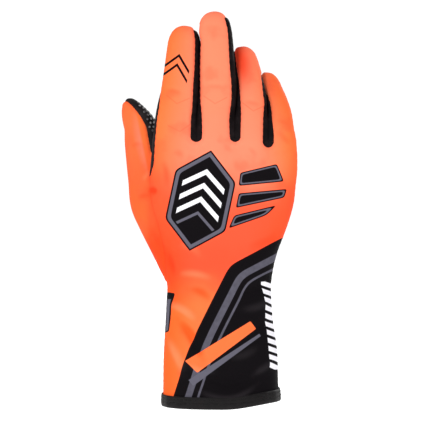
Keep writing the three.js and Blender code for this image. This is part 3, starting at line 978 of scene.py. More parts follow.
    def divide(self, sheet: Sheet) -> None:
        """Cuts the sheet along its seams and names the panel of each triangle.

        Args:
            sheet: The sheet, with its seam values.
        """
        order = list(Panel)
        sheet.region = np.full(len(sheet.triangles), order.index(Panel.BACK))
        sheet.cut("hem", np.ones(len(sheet.triangles), bool))
        keep = sheet.mean("hem") > 0
        sheet.triangles, sheet.region = sheet.triangles[keep], sheet.region[keep]
        for name, side, old, new in self.cuts:
            sheet.cut(name, sheet.region == order.index(old))
            beyond = (sheet.region == order.index(old)) & (sheet.mean(name) * side > 0)
            sheet.region[beyond] = order.index(new)


@dataclass
class Relief:
    """Folds, wrinkles and seam lines that lift or sink the fabric."""

    form: HandForm
    fold_depth: float = 2.4
    # Each fold: around, up, wide, tall, out
    folds: tuple[Row, ...] = (
        (-62, 0.1, 34, 0.05, -1.0), (-68, 0.03, 40, 0.04, 0.5), (-20, 0.2, 24, 0.08, 0.5),
        (-128, 0.25, 20, 0.1, 0.6), (-105, 0.33, 18, 0.08, -0.7), (-140, 0.44, 26, 0.04, -0.8),
        (-45, 0.47, 30, 0.04, -0.6), (90, 0.45, 50, 0.03, -0.9), (60, 0.2, 30, 0.06, -0.6),
        (115, 0.29, 26, 0.07, 0.6),
    )
    # Which shares of a wrinkle's run its height follows, and how steeply; and how much the
    # surface faces the back or the palm side where wrinkles start to show and where they are full
    taper: Row = (0.06, 0.94)
    taper_power: float = 0.7
    facing: Row = (0.0, 0.6)
    # The part of a finger that its joints are measured on: its start, and its length, as shares
    joint_from: float = 0.2
    joint_run: float = 0.8
    # Each wrinkle: from x and z, to x and z, half width, out, bow to the left of its run. The
    # first list is on the back of the hand and the second on the palm side.
    back_wrinkles: tuple[Row, ...] = (
        (-29, 60, -12, 33, 3.4, -1.9, 1.5), (-36, 70, -16, 58, 3.4, 1.2, 2.0),
        (-36, 48, -24, 22, 3.6, 1.1, 1.0), (-22, 30, -2, 24, 3.2, 1.0, -2.0),
        (-16, 13, 26, 15, 2.8, 1.3, -7.0), (-12, 22, 22, 23, 3.0, -1.3, -5.0),
        (16, 20, 38, 33, 3.2, 1.1, -2.0), (4, 34, 26, 42, 3.4, 0.9, -2.0),
        (-23, 80, -6, 72, 3.2, -1.2, 2.0), (-30, 90, -4, 86, 3.2, 0.9, 2.0),
        (8, 76, 34, 86, 3.4, -1.2, -2.0), (12, 66, 36, 74, 3.2, 1.0, -2.0),
        (20, 54, 38, 62, 3.0, -0.9, -1.0), (-37, 106, -31, 86, 2.8, -1.3, 0.0),
        (-30, 110, -12, 100, 3.6, 0.6, 3.0), (16, 108, 40, 118, 3.6, -0.7, -2.0),
        (-50, 147, -43, 145, 2.4, -1.6, 0.0), (-58, 141, -46, 141, 2.6, -0.8, 1.5),
        (-54, 152, -47, 160, 2.6, 0.7, 0.0), (-48, 120, -40, 104, 3.0, -0.8, 1.0),
        (-40, 168, -36, 146, 3.2, -0.8, 1.0), (-33, 172, -24, 168, 3.2, -0.6, 1.0),
        (32, 156, 46, 148, 3.2, -0.6, 1.0), (38, 186, 48, 176, 3.0, -0.6, 0.0),
        (18, 176, 25, 168, 2.6, -0.5, 0.0), (-40, 214, -24, 210, 2.2, -0.5, 1.0),
        (-15, 216, 6, 214, 2.4, -0.5, 1.0), (14, 206, 28, 203, 2.4, -0.5, 1.0),
        (36, 194, 47, 190, 2.2, -0.5, 1.0), (-62, 176, -52, 178, 2.2, -0.6, 1.0),
    )
    palm_wrinkles: tuple[Row, ...] = (
        (-24, 88, 26, 84, 2.6, -1.5, 2), (-28, 95, 30, 93, 2.6, 0.9, 2),
        (-22, 101, 24, 103, 2.4, -0.9, 2), (-30, 74, 30, 70, 3.0, 0.9, 2),
        (-24, 60, 12, 66, 3.0, -0.9, 2), (-10, 44, 28, 50, 3.2, 0.9, 2),
        (-14, 108, -22, 134, 3.0, -1.2, 2), (-22, 134, -38, 158, 3.0, -1.2, 2),
        (-34, 160, 20, 154, 2.4, -0.8, 2), (-4, 140, 44, 160, 2.6, -0.9, 2),
        (28, 112, 40, 146, 3.2, 0.8, 2), (0, 116, 8, 148, 3.6, 0.7, 2),
        (-28, 30, 4, 22, 3.2, -1.0, 2), (8, 28, 30, 18, 3.0, 0.8, 2),
    )
    # Creases across the palm side of each finger, as shares of its length, and their depth
    joints: Row = (0.2, 0.45, 0.7)
    joint_depth: float = 0.8
    joint_half: float = 2.2
    seam_depth: float = 0.45
    seam_half: float = 0.7
    # The swell of the fabric beside a seam, and the ripples that its stitches pull
    seam_swell: float = 0.28
    swell_from: float = 2.4
    swell_half: float = 1.4
    pucker: float = 0.12
    pucker_pitch: float = 4.6
    pucker_run: Row = (0.5, 0.3, 1.0)
    pucker_fade: float = 2.5

    def folds_at(self, points: Array) -> Array:
        """How far the frame's own folds move the fabric.

        Args:
            points: Points of the surface.

        Returns:
            One distance out for each point.
        """
        body = self.form.body_at(points[:, 2])
        around = np.degrees(np.arctan2(
            (points[:, 1] - body[:, 1]) / body[:, 3], (points[:, 0] - body[:, 0]) / body[:, 2]))
        out = np.zeros(len(points))
        for angle, up, wide, tall, height in self.folds:
            turn = (around - angle + 180) % 360 - 180
            climb = points[:, 2] / self.form.crotch - up
            out += height * self.fold_depth * np.exp(-((turn / wide) ** 2) - (climb / tall) ** 2)
        return out

    def wrinkle(self, points: Array, row: Row) -> Array:
        """A soft ridge or dent along a line, seen from the back or the front.

        Args:
            points: Points of the surface.
            row: The wrinkle's numbers, as in the lists above.

        Returns:
            One distance out for each point.
        """
        *places, wide, out, bend = row
        start, end = np.array(places[:2]), np.array(places[2:])
        flat = points[:, [0, 2]] - start
        along = (end - start) / np.linalg.norm(end - start)
        length = np.linalg.norm(end - start)
        run = flat @ along
        bow = bend * np.sin(np.clip(run / length, 0, 1) * math.pi)
        away = flat @ np.array([-along[1], along[0]]) - bow
        past = np.maximum(np.maximum(-run, run - length), 0)
        taper = np.sin(np.clip(run / length, *self.taper) * math.pi) ** self.taper_power
        return out * taper * np.exp(-((away / wide) ** 2) - (past / wide) ** 2)

    def wrinkles(self, sheet: Sheet) -> Array:
        """How far all the wrinkles together move the fabric.

        Args:
            sheet: The sheet.

        Returns:
            One distance out for each point.
        """
        points, normal = sheet.points, sheet.values["normal"]
        back = smoothstep(*self.facing, -normal[:, 1])
        palm = smoothstep(*self.facing, normal[:, 1])
        out = np.zeros(len(points))
        for row in self.back_wrinkles:
            out += back * self.wrinkle(points, row)
        for row in self.palm_wrinkles:
            out += palm * self.wrinkle(points, row)
        return out

    def joint_creases(self, sheet: Sheet, lane: Array) -> Array:
        """Creases across the palm side of the fingers.

        Args:
            sheet: The sheet.
            lane: The finger lane of each point.

        Returns:
            One distance out for each point.
        """
        points = sheet.points
        out = np.zeros(len(points))
        palm = np.clip(sheet.values["normal"][:, 1], 0, 1)
        for number, finger in enumerate(self.form.fingers):
            place, _ = finger.place(points)
            total = finger.tip_start / finger.step
            for joint in self.joints:
                run = (place - total * (joint * self.joint_run + self.joint_from)) * finger.step
                out -= np.where(lane == number, np.exp(-((run / self.joint_half) ** 2)), 0)
        return out * self.joint_depth * palm * (points[:, 2] > self.form.crotch)

    def seam_distance(self, sheet: Sheet) -> Array:
        """Finds how far points are from the nearest seam of their own part of the glove.

        Args:
            sheet: The sheet, with its seam values.

        Returns:
            One distance for each point.
        """
        value = sheet.values
        far = 99.0
        strip = np.minimum(np.minimum(value["strip_0"], value["strip_1"]), value["strip_2"])
        edge = np.abs(np.stack([value[f"strip_{i}"] for i in range(3)])).min(0)
        on_hand = value["thumb"] <= 0
        outside = on_hand & (strip > 0)
        near = [
            np.abs(value["thumb"]),
            np.where(on_hand, edge, far),
            np.where(outside, np.abs(value["side"]), far),
            np.where(outside & (value["side"] > 0), np.abs(value["palm_end"]), far),
            np.where(~on_hand, np.abs(value["thumb_side"]), far),
        ]
        return np.stack(near).min(0)

    def at(self, sheet: Sheet, lane: Array) -> Array:
        """How far the fabric stands out.

        Args:
            sheet: The sheet, with its seam values.
            lane: The finger lane of each point.

        Returns:
            One distance for each point of the sheet.
        """
        points = sheet.points
        out = self.folds_at(points) + self.wrinkles(sheet) + self.joint_creases(sheet, lane)
        seam = self.seam_distance(sheet)
        out -= self.seam_depth * np.exp(-((seam / self.seam_half) ** 2))
        out += self.seam_swell * np.exp(-(((seam - self.swell_from) / self.swell_half) ** 2))
        ripple = np.sin(points @ np.array(self.pucker_run) * 2 * math.pi / self.pucker_pitch)
        return out + self.pucker * ripple * np.exp(-seam / self.pucker_fade)


@dataclass
class HemLift:
    """The right side of the hem hangs a little higher than the left side."""

    rise: float = 3.6
    start: float = 2.0
    end: float = 38.0
    fade: Row = (8.0, 48.0)

    def moved(self, points: Array) -> Array:
        """Lifts points on the right of the cuff.

        Args:
            points: Points in millimetres.

        Returns:
            The moved points.
        """
        lift = self.rise * smoothstep(self.start, self.end, points[:, 0])
        lift *= 1 - smoothstep(*self.fade, points[:, 2])
        return points + np.outer(lift, [0, 0, 1])


@dataclass
class PanelCutter:
    """Gives each panel of the sheet its thickness and makes it a Blender object."""

    thickness: float = 1.25
    seam_gap: float = 0.1
    sharp_edge: float = math.radians(50)

    def piece(self, sheet: Sheet, panel: Panel) -> bpy.types.Object:
        """Makes one panel as a closed shell.

        Args:
            sheet: The divided sheet, with its relief applied.
            panel: The panel to make.

        Returns:
            The new object.
        """
        chosen = sheet.triangles[sheet.region == list(Panel).index(panel)]
        chosen = self.main_part(chosen, len(sheet.points))
        used, flat = np.unique(chosen, return_inverse=True)
        triangles = flat.reshape(-1, 3)
        outer = sheet.points[used]
        normal = sheet.values["normal"][used]
        pairs = np.concatenate([triangles[:, [0, 1]], triangles[:, [1, 2]], triangles[:, [2, 0]]])
        key = pairs.min(1) * len(used) + pairs.max(1)
        _, first, count = np.unique(key, return_index=True, return_counts=True)
        rim = pairs[first[count == 1]]
        inward = self.inward(outer, triangles, rim)
        outer += inward * self.seam_gap / 2
        inner = outer - normal * self.thickness
        size = len(used)
        walls = np.concatenate([
            np.stack([rim[:, 1], rim[:, 0], rim[:, 0] + size], 1),
            np.stack([rim[:, 1], rim[:, 0] + size, rim[:, 1] + size], 1),
        ])
        faces = np.concatenate([triangles, triangles[:, ::-1] + size, walls])
        mesh = mesh_of(panel.value, np.concatenate([outer, inner]), faces)
        add_values(mesh, "inside", np.repeat([0.0, 1.0], size))
        add_vectors(mesh, "print_at", np.tile(sheet.values["print_at"][used], (2, 1)))
        # The edge share and the wrinkle heights, which the jersey turns into painted shade and painted
        # highlights
        for name in ("edge", "fold"):
            add_values(mesh, name, np.tile(sheet.values[name][used], 2))
        mesh.set_sharp_from_angle(angle=self.sharp_edge)
        return object_of(f"{panel.value}_cloth", mesh)

    @staticmethod
    def main_part(triangles: Array, count: int) -> Array:
        """Finds the largest connected part of some triangles.

        Args:
            triangles: The triangles.
            count: How many points the sheet has.

        Returns:
            The triangles of that part.
        """
        label = np.arange(count)
        while True:
            low = label[triangles].min(1)
            before = label.copy()
            for corner in range(3):
                np.minimum.at(label, triangles[:, corner], low)
            label = label[label]
            if (label == before).all():
                break
        names, sizes = np.unique(label[triangles[:, 0]], return_counts=True)
        return triangles[label[triangles[:, 0]] == names[sizes.argmax()]]

    @staticmethod
    def inward(points: Array, triangles: Array, rim: Array) -> Array:
        """Finds the way from a panel's rim into the panel.

        Args:
            points: The panel's points.
            triangles: Its triangles.
            rim: The edges of its rim.

        Returns:
            A unit step for each rim point, and none elsewhere.
        """
        step = np.zeros_like(points)
        a, b = points[rim[:, 0]], points[rim[:, 1]]
        far = {}
        for corner in range(3):
            one, two = triangles[:, corner], triangles[:, (corner + 1) % 3]
            third = triangles[:, (corner + 2) % 3]
            far.update(zip(zip(one.tolist(), two.tolist()), third.tolist()))
        third = np.array([far[pair] for pair in map(tuple, rim.tolist())])
        along = (b - a) / np.maximum(np.linalg.norm(b - a, axis=1), TINY)[:, None]
        into = points[third] - a
        into -= along * (into * along).sum(1)[:, None]
        into /= np.maximum(np.linalg.norm(into, axis=1), TINY)[:, None]
        np.add.at(step, rim[:, 0], into)
        np.add.at(step, rim[:, 1], into)
        length = np.linalg.norm(step, axis=1)
        return step / np.maximum(length, 0.5)[:, None] * (length > 0)[:, None]


@dataclass
class GripDots:
    """Small raised dots of silicone on the palm side of the hand, fingers and thumb."""

    form: HandForm
    sheet: Sheet
    pitch: float = 3.0
    radius: float = 0.82
    height: float = 0.34
    sink: float = 0.25
    sides: int = 8
    # How much nearer the rows are than the dots in a row
    row_share: float = 0.87
    # The rings of a dot above its foot: share of its radius and of its height
    rings: tuple[Row, ...] = ((0.98, 0.35), (0.6, 0.88))
    # The palm's dotted field, as lowest x and z and highest x and z, seen from this far off
    palm_field: Row = (-46.0, 97.0, 46.0, 168.0)
    seen_from: float = 90.0
    # How far along a digit its dots start and end, in millimetres from its line's start and
    # before its end
    finger_run: Row = (58.0, 2.0)
    thumb_run: Row = (62.0, 4.4)
    # Which angles round a digit have dots, from the right side (0) to the palm side (90)
    finger_angles: Row = (28.0, 152.0)
    thumb_angles: Row = (-58.0, 112.0)
    # Above which height the thumb's dots also show from the back
    thumb_front: float = 186.0
    least_facing: float = 0.12
    # How near a seam a dot may be
    seam_clear: float = 1.5
    # How far the way out of a digit leans to the palm side, in millimetres
    lean: float = 2.0

    def __post_init__(self) -> None:
        """Makes the search tree of the sheet and the seam values of its triangles."""
        self.tree = self.sheet.tree()
        names = ("strip_0", "strip_1", "strip_2", "side", "thumb", "thumb_side")
        self.value = {name: self.sheet.mean(name) for name in names}

    def hit(self, start: Array, towards: Array, panel: Panel) -> Dot | None:
        """Finds where a line meets a panel, well inside its seams.

        Args:
            start: Where the line starts.
            towards: Its direction.
            panel: The panel that the dot is to sit on.

        Returns:
            The place and the outward normal there, or None where there is no room for a dot.
        """
        place, normal, number, _ = self.tree.ray_cast(Vector(start), Vector(towards))
        if place is None or self.sheet.region[number] != list(Panel).index(panel):
            return None
        near = {name: value[number] for name, value in self.value.items()}
        if panel is Panel.PALM:
            gap = min(near["strip_0"], near["strip_1"], near["strip_2"], near["side"], -near["thumb"])
        else:
            gap = min(near["thumb_side"], near["thumb"])
        return None if gap < self.seam_clear else (np.array(place), np.array(normal))

    def round_digit(self, digit: Digit, panel: Panel, run: Row, angles: Row) -> list[Dot]:
        """Finds places for dots round a finger or the thumb.

        Args:
            digit: The digit.
            panel: The panel that the dots sit on.
            run: Where the rows start and how far before the end they stop.
            angles: The first and the last angle with dots.

        Returns:
            The place and the normal of each dot.
        """
        found = []
        length = digit.step * (digit.stations - 1)
        for number, at in enumerate(np.arange(run[0], length - run[1], self.pitch * self.row_share)):
            station = np.array([at / digit.step])
            middle, wide, deep, halves = (
                digit.blend(rows, station)[0] for rows in (digit.line, digit.wide, digit.deep, digit.half))
            half = halves.mean() * digit.end_share(at)
            step = math.degrees(self.pitch / max(half, self.pitch))
            first = angles[0] + (number % 2) * step / 2
            for angle in np.radians(np.arange(first, angles[1], step)):
                outward = wide * math.cos(angle) + deep * math.sin(angle)
                found.append(self.hit(middle, outward, panel))
        return [dot for dot in found if dot is not None]

    def over_palm(self) -> list[Dot]:
        """Finds places for dots on the palm, in staggered rows.

        Returns:
            The place and the normal of each dot.
        """
        found = []
        low_x, low_z, high_x, high_z = self.palm_field
        for number, up in enumerate(np.arange(low_z, high_z, self.pitch * self.row_share)):
            for across in np.arange(low_x + (number % 2) * self.pitch / 2, high_x, self.pitch):
                start = np.array([across, self.seen_from, up])
                dot = self.hit(start, np.array([0.0, -1.0, 0.0]), Panel.PALM)
                if dot is not None and dot[1][1] > self.least_facing:
                    found.append(dot)
        return found

    def mesh(self, name: str, dots: list[Dot]) -> bpy.types.Object:
        """Makes one object of closed low domes.

        Args:
            name: The object's name.
            dots: The place and the normal of each dot.

        Returns:
            The new object.
        """
        place, normal = (np.array([dot[part] for dot in dots]) for part in range(2))
        normal *= np.sign((normal * self.outward(place)).sum(1))[:, None]
        across = np.cross(normal, [0.0, 0.0, 1.0])
        across /= np.linalg.norm(across, axis=1)[:, None]
        up = np.cross(across, normal)
        points = []
        for share, height in ((1.0, -self.sink), *((s, self.height * h) for s, h in self.rings)):
            for angle in np.arange(self.sides) * 2 * math.pi / self.sides:
                offset = across * math.cos(angle) + up * math.sin(angle)
                points.append(place + offset * self.radius * share + normal * height)
        points += [place - normal * self.sink, place + normal * self.height]
        starts = np.arange(len(dots)) * len(points)
        faces = (self.dome_faces()[None] + starts[:, None, None]).reshape(-1, 3)
        return object_of(name, mesh_of(name, np.stack(points, 1).reshape(-1, 3), faces))

    def outward(self, places: Array) -> Array:
        """Finds rough ways out of the glove: away from the nearest digit's line, to the palm side.

        Args:
            places: Points of the surface.

        Returns:
            One direction for each place, of any length.
        """
        away = np.zeros_like(places)
        lines = [digit.line for digit in (*self.form.fingers, self.form.thumb)]
        for number, place in enumerate(places):
            gaps = [((line - place) ** 2).sum(1) for line in lines]
            nearest = min(range(len(lines)), key=lambda line: gaps[line].min())
            spot = lines[nearest][gaps[nearest].argmin()]
            away[number] = place - spot + np.array([0.0, self.lean, 0.0])
        return away

    def dome_faces(self) -> Array:
        """Lists the triangles of one dome, whose rings run from its foot to its top.

        Returns:
            The triangles.
        """
        faces, sides = [], self.sides
        base, top = 3 * sides, 3 * sides + 1
        for side in range(sides):
            after = (side + 1) % sides
            faces.append((base, side, after))
            for ring in (0, sides):
                faces.append((ring + side, ring + sides + side, ring + after))
                faces.append((ring + after, ring + sides + side, ring + sides + after))
            faces.append((2 * sides + side, top, 2 * sides + after))
        return np.array(faces)

    def build(self) -> list[bpy.types.Object]:
        """Makes the dots.

        Returns:
            The dots of the palm and fingers, and those of the thumb.
        """
        palm = self.over_palm()
        for finger in self.form.fingers:
            palm += self.round_digit(finger, Panel.PALM, self.finger_run, self.finger_angles)
        thumb = self.round_digit(self.form.thumb, Panel.THUMB_PALM, self.thumb_run, self.thumb_angles)
        thumb = [dot for dot in thumb if dot[1][1] > 0 or dot[0][2] > self.thumb_front]
        return [self.mesh("palm_grip_dots", palm), self.mesh("thumb_grip_dots", thumb)]


@dataclass
class PalmStitches:
    """Two rows of black stitches beside the seam between the palm and the cuff."""

    sheet: Sheet
    seam: float = 81.0
    from_seam: float = 2.3
    reach: float = 27.0
    pitch: float = 3.2
    length: float = 2.3
    radius: float = 0.26
    lift: float = 0.12
    seen_from: float = 90.0

    def build(self) -> bpy.types.Object:
        """Makes the stitches.

        Returns:
            One object of closed threads.
        """
        tree = self.sheet.tree()
        ends = []
        for height in (self.seam - self.from_seam, self.seam + self.from_seam):
            for across in np.arange(-self.reach, self.reach, self.pitch):
                pair = []
                for shift in (0.0, self.length):
                    start = Vector((across + shift, self.seen_from, height))
                    place, _, _, _ = tree.ray_cast(start, Vector((0.0, -1.0, 0.0)))
                    if place is not None:
                        pair.append(np.array(place) + np.array([0.0, self.lift, 0.0]))
                if len(pair) == 2:
                    ends.append(pair)
        return threads("palm_seam_stitches", ends, self.radius)


def mesh_of(name: str, points: Array, faces: Array) -> bpy.types.Mesh:
    """Makes a mesh in metres.

    Args:
        name: The mesh's name.
        points: Its points in millimetres.
        faces: Its faces, all with as many corners.

    Returns:
        The new mesh.
    """
    mesh = bpy.data.meshes.new(name)
    corners = faces.shape[1]
    mesh.vertices.add(len(points))
    mesh.vertices.foreach_set("co", (points * MM).astype(np.float32).ravel())
    mesh.loops.add(faces.size)
    mesh.loops.foreach_set("vertex_index", faces.astype(np.int32).ravel())
    mesh.polygons.add(len(faces))
    mesh.polygons.foreach_set("loop_start", np.arange(0, faces.size, corners, dtype=np.int32))
    mesh.polygons.foreach_set("use_smooth", np.ones(len(faces), bool))
    mesh.update(calc_edges=True)
    mesh.validate()
    return mesh


def object_of(name: str, data: bpy.types.ID) -> bpy.types.Object:
    """Adds an object to the scene.

    Args:
        name: The object's name.
        data: The mesh, light or camera that it shows.

    Returns:
        The new object.
    """
    thing = bpy.data.objects.new(name, data)
    bpy.context.scene.collection.objects.link(thing)
    return thing


def add_values(mesh: bpy.types.Mesh, name: str, values: Array) -> None:
    """Writes one number on each point of a mesh."""
    mesh.attributes.new(name, "FLOAT", "POINT").data.foreach_set("value", values.astype(np.float32))


def add_vectors(mesh: bpy.types.Mesh, name: str, vectors: Array) -> None:
    """Writes one vector on each point of a mesh."""
    layer = mesh.attributes.new(name, "FLOAT_VECTOR", "POINT")
    layer.data.foreach_set("vector", vectors.astype(np.float32).ravel())


@dataclass
class Shell:
    """The sewn fabric of the glove: all panels but the hem."""

    form: HandForm
    viewpoint: Row = (-7.14, 1200.0, 132.3)
    # From which share of the hand's half width the painted edge shade starts, and where it is full
    edge_shade_range: Row = (0.38, 1.05)
    # How far under and over the crotch the hand's edges turn into those of the fingers
    root_half: float = 12.0

    def build(self) -> dict[Panel, bpy.types.Object]:
        """Makes the panels.

        Returns:
            The object of each panel.
        """
        sheet = NetMesher(self.form).sheet()
        log.info("form: %d triangles", len(sheet.triangles))
        hand, thumb = self.form.parts(sheet.points)
        sheet.points, lane = self.form.gathered(sheet.points)
        plan = SeamPlan(self.form)
        sheet.values["normal"] = sheet.normals()
        plan.mark(sheet, lane, hand, thumb)
        sheet.values["print_at"] = self.print_places(HemLift().moved(sheet.points))
        sheet.values["lane"] = lane.astype(float)
        # The share towards the hand's edges, which the jersey uses for its painted edge shade
        sheet.values["edge"] = self.edge_shade_share(sheet.points)
        plan.divide(sheet)
        folds = Relief(self.form)
        relief = folds.at(sheet, np.round(sheet.values["lane"]).astype(int))
        # The wrinkles' heights, which the jersey turns into painted shade in dents and painted highlights on
        # ridges
        sheet.values["fold"] = folds.wrinkles(sheet)
        sheet.points = HemLift().moved(sheet.points + sheet.values["normal"] * relief[:, None])
        cutter = PanelCutter()
        pieces = {}
        for panel in Panel:
            if panel is not Panel.HEM:
                pieces[panel] = cutter.piece(sheet, panel)
        self.sheet = sheet
        return pieces

    def edge_shade_share(self, points: Array) -> Array:
        """Finds how near points are to the left or right edge of the whole hand, where the jersey paints
        shade.

        Args:
            points: Points of the surface.

        Returns:
            A share for each point, from 0 inside to 1 at the edge.
        """
        heights = points[:, 2]
        body = self.form.body_at(heights)
        left = self.form.fingers[0].side_at(heights, -1)
        right = self.form.fingers[-1].side_at(heights, 1)
        crotch = self.form.crotch
        above = smoothstep(crotch - self.root_half, crotch + self.root_half, heights)
        middle = body[:, 0] * (1 - above) + (left + right) / 2 * above
        half = body[:, 2] * (1 - above) + (right - left) / 2 * above
        return smoothstep(*self.edge_shade_range, np.abs(points[:, 0] - middle) / half)

    def print_places(self, points: Array) -> Array:
        """Finds where points lie on the flat sheet that the print was made on.

        Args:
            points: Points of the surface.

        Returns:
            Across, depth and up for each point.
        """
        x, distance, z = self.viewpoint
        scale = distance / (distance + points[:, 1])
        across = x + (points[:, 0] - x) * scale
        up = z + (points[:, 2] - z) * scale
        return np.stack([across, points[:, 1], up], 1)


def tone(red: int, green: int, blue: int) -> Colour:
    """A colour from its red, green and blue as a screen shows them, 0 to 255."""
    shares = [value / 255 for value in (red, green, blue)]
    # The curve of screens: a straight start, then a power
    return tuple(s / 12.92 if s < 0.04045 else ((s + 0.055) / 1.055) ** 2.4 for s in shares)


Socket = bpy.types.NodeSocket
# What a socket can be given
Feed = Socket | float | Colour | Row
# From and to which value a colour blends in, and the colour
Blend = tuple[float, float, Colour]


@dataclass(frozen=True)
class Look:
    """How rough, hairy and glossy a finish is."""

    roughness: float
    sheen: float = 0.0
    gloss: float = 0.12


@dataclass
class NodePad:
    """The nodes of one material, with short ways to add and link them."""

    name: str
    sheen_roughness: float = 0.45
    # Where the attribute that tells the inside of the fabric blends over
    lining_from: float = 0.3
    lining_to: float = 0.8

    def __post_init__(self) -> None:
        """Starts a material with one shader."""
        self.material = bpy.data.materials.new(self.name)
        self.material.use_nodes = True
        self.tree = self.material.node_tree
        self.shader = self.tree.nodes["Principled BSDF"]

    def node(self, kind: str) -> bpy.types.Node:
        """Adds a node of a kind, such as Math."""
        return self.tree.nodes.new(f"ShaderNode{kind}")

    def feed(self, socket: Socket, value: Feed) -> None:
        """Sets a socket to a value, or links it to another socket.

        Args:
            socket: The socket to set.
            value: A number, a colour, a vector or another socket.
        """
        if isinstance(value, Socket):
            self.tree.links.new(value, socket)
        elif isinstance(value, tuple) and socket.type == "RGBA":
            socket.default_value = (*value, 1.0)
        else:
            socket.default_value = value

    def attribute(self, name: str, output: str = "Fac") -> Socket:
        """A value that is read from the mesh.

        Args:
            name: The attribute's name.
            output: Which output of the node is wanted.

        Returns:
            The value's socket.
        """
        node = self.node("Attribute")
        node.attribute_name = name
        return node.outputs[output]

    def math(self, operation: str, *values: Feed) -> Socket:
        """A sum or comparison of numbers.

        Args:
            operation: The operation's name in Blender.
            values: Its numbers or sockets.

        Returns:
            The result's socket.
        """
        node = self.node("Math")
        node.operation = operation
        for socket, value in zip(node.inputs, values):
            self.feed(socket, value)
        return node.outputs[0]

    def times(self, a: Feed, b: Feed) -> Socket:
        """One value times another."""
        return self.math("MULTIPLY", a, b)

    def plus(self, a: Feed, b: Feed) -> Socket:
        """One value plus another."""
        return self.math("ADD", a, b)

    def minus(self, a: Feed, b: Feed) -> Socket:
        """One value less another."""
        return self.math("SUBTRACT", a, b)

    def size(self, a: Feed) -> Socket:
        """A value without its sign."""
        return self.math("ABSOLUTE", a)

    def scaled(self, a: Feed, by: Feed, plus: Feed) -> Socket:
        """A value times a number, plus another."""
        return self.math("MULTIPLY_ADD", a, by, plus)

    def dot(self, vector: Feed, direction: Row) -> Socket:
        """How far a vector runs in a direction.

        Args:
            vector: The vector's socket.
            direction: The direction, of length 1.

        Returns:
            The length's socket.
        """
        node = self.node("VectorMath")
        node.operation = "DOT_PRODUCT"
        self.feed(node.inputs[0], vector)
        self.feed(node.inputs[1], direction)
        return node.outputs["Value"]

    def between(self, value: Feed, low: float, high: float) -> Socket:
        """A soft step.

        Args:
            value: The value that steps.
            low: Where the step is 0.
            high: Where it is 1.

        Returns:
            The step's socket.
        """
        node = self.node("MapRange")
        node.interpolation_type = "SMOOTHSTEP"
        self.feed(node.inputs["Value"], value)
        node.inputs["From Min"].default_value = low
        node.inputs["From Max"].default_value = high
        return node.outputs["Result"]

    def mix(self, share: Feed, under: Feed, over: Feed) -> Socket:
        """One colour laid over another.

        Args:
            share: How much of the upper colour shows.
            under: The lower colour.
            over: The upper colour.

        Returns:
            The mixed colour's socket.
        """
        node = self.node("Mix")
        node.data_type = "RGBA"
        self.feed(node.inputs["Factor"], share)
        lower, upper = (socket for socket in node.inputs if socket.type == "RGBA")
        self.feed(lower, under)
        self.feed(upper, over)
        return next(socket for socket in node.outputs if socket.type == "RGBA")

    def graded(self, along: Feed, first: Feed, tones: tuple[Blend, ...]) -> Socket:
        """Colours that follow one another along a value.

        Args:
            along: The value.
            first: The colour at its low end.
            tones: From and to which value each next colour blends in, and the colour.

        Returns:
            The colour's socket.
        """
        colour = first
        for low, high, tone_here in tones:
            colour = self.mix(self.between(along, low, high), colour, tone_here)
        return colour

    def lined(self, outside: Feed, inside: Feed) -> Socket:
        """A colour, with another one on the inside of the fabric."""
        share = self.between(self.attribute("inside"), self.lining_from, self.lining_to)
        return self.mix(share, outside, inside)

    def noise(self, size: float, detail: float = 2.0) -> Socket:
        """A cloudy value.

        Args:
            size: About how large its clouds are, in millimetres.
            detail: How much finer detail they have.

        Returns:
            The value's socket.
        """
        node = self.node("TexNoise")
        node.inputs["Scale"].default_value = 1 / (size * MM)
        node.inputs["Detail"].default_value = detail
        self.feed(node.inputs["Vector"], self.place())
        return node.outputs[0]

    def place(self) -> Socket:
        """Where a point is on the glove, in metres."""
        return self.node("TexCoord").outputs["Object"]

    def bump(self, height: Feed, depth: float, strength: float, under: Feed | None = None) -> Socket:
        """A normal from a height.

        Args:
            height: The height, from 0 to 1.
            depth: How far its highest point stands up, in millimetres.
            strength: How strongly it shows.
            under: A normal that it is laid on.

        Returns:
            The normal's socket.
        """
        node = self.node("Bump")
        node.inputs["Distance"].default_value = depth * MM
        node.inputs["Strength"].default_value = strength
        self.feed(node.inputs["Height"], height)
        if under is not None:
            self.feed(node.inputs["Normal"], under)
        return node.outputs[0]

    def finish(self, colour: Feed, normal: Feed, look: Look) -> bpy.types.Material:
        """Sets the shader.

        Args:
            colour: The base colour.
            normal: The normal with its bumps.
            look: How rough, hairy and glossy the surface is.

        Returns:
            The finished material.
        """
        self.feed(self.shader.inputs["Base Color"], colour)
        self.feed(self.shader.inputs["Normal"], normal)
        self.shader.inputs["Roughness"].default_value = look.roughness
        self.shader.inputs["Specular IOR Level"].default_value = look.gloss
        self.shader.inputs["Sheen Weight"].default_value = look.sheen
        self.shader.inputs["Sheen Roughness"].default_value = self.sheen_roughness
        return self.material


@dataclass
class Weave:
    """Rows and columns of small loops or threads, in relief."""

    pad: NodePad
    row: float
    column: float
    # How steep the surface is where the columns turn to run along its depth, and how far the
    # rows slant within a column
    turn_at: float = 0.72
    slant: float = 0.8

    def height(self) -> Socket:
        """Finds the relief.

        Returns:
            The socket of a height from 0 between the threads to 1 on them.
        """
        pad = self.pad
        x, y, z = self.parts(pad.place())
        facing = self.parts(pad.node("TexCoord").outputs["Normal"])[0]
        side = pad.math("GREATER_THAN", pad.size(facing), self.turn_at)
        across = pad.plus(x, pad.times(side, pad.minus(y, x)))
        turn = 2 * math.pi / MM
        columns = pad.size(pad.math("SINE", pad.times(across, turn / self.column)))
        rows = pad.math("SINE", pad.plus(pad.times(z, turn / self.row), pad.times(columns, self.slant)))
        return pad.times(columns, pad.scaled(rows, 0.5, 0.5))

    def parts(self, vector: Socket) -> list[Socket]:
        """Takes a vector apart.

        Args:
            vector: The vector's socket.

        Returns:
            The sockets of its x, y and z.
        """
        split = self.pad.node("SeparateXYZ")
        self.pad.feed(split.inputs[0], vector)
        return list(split.outputs)


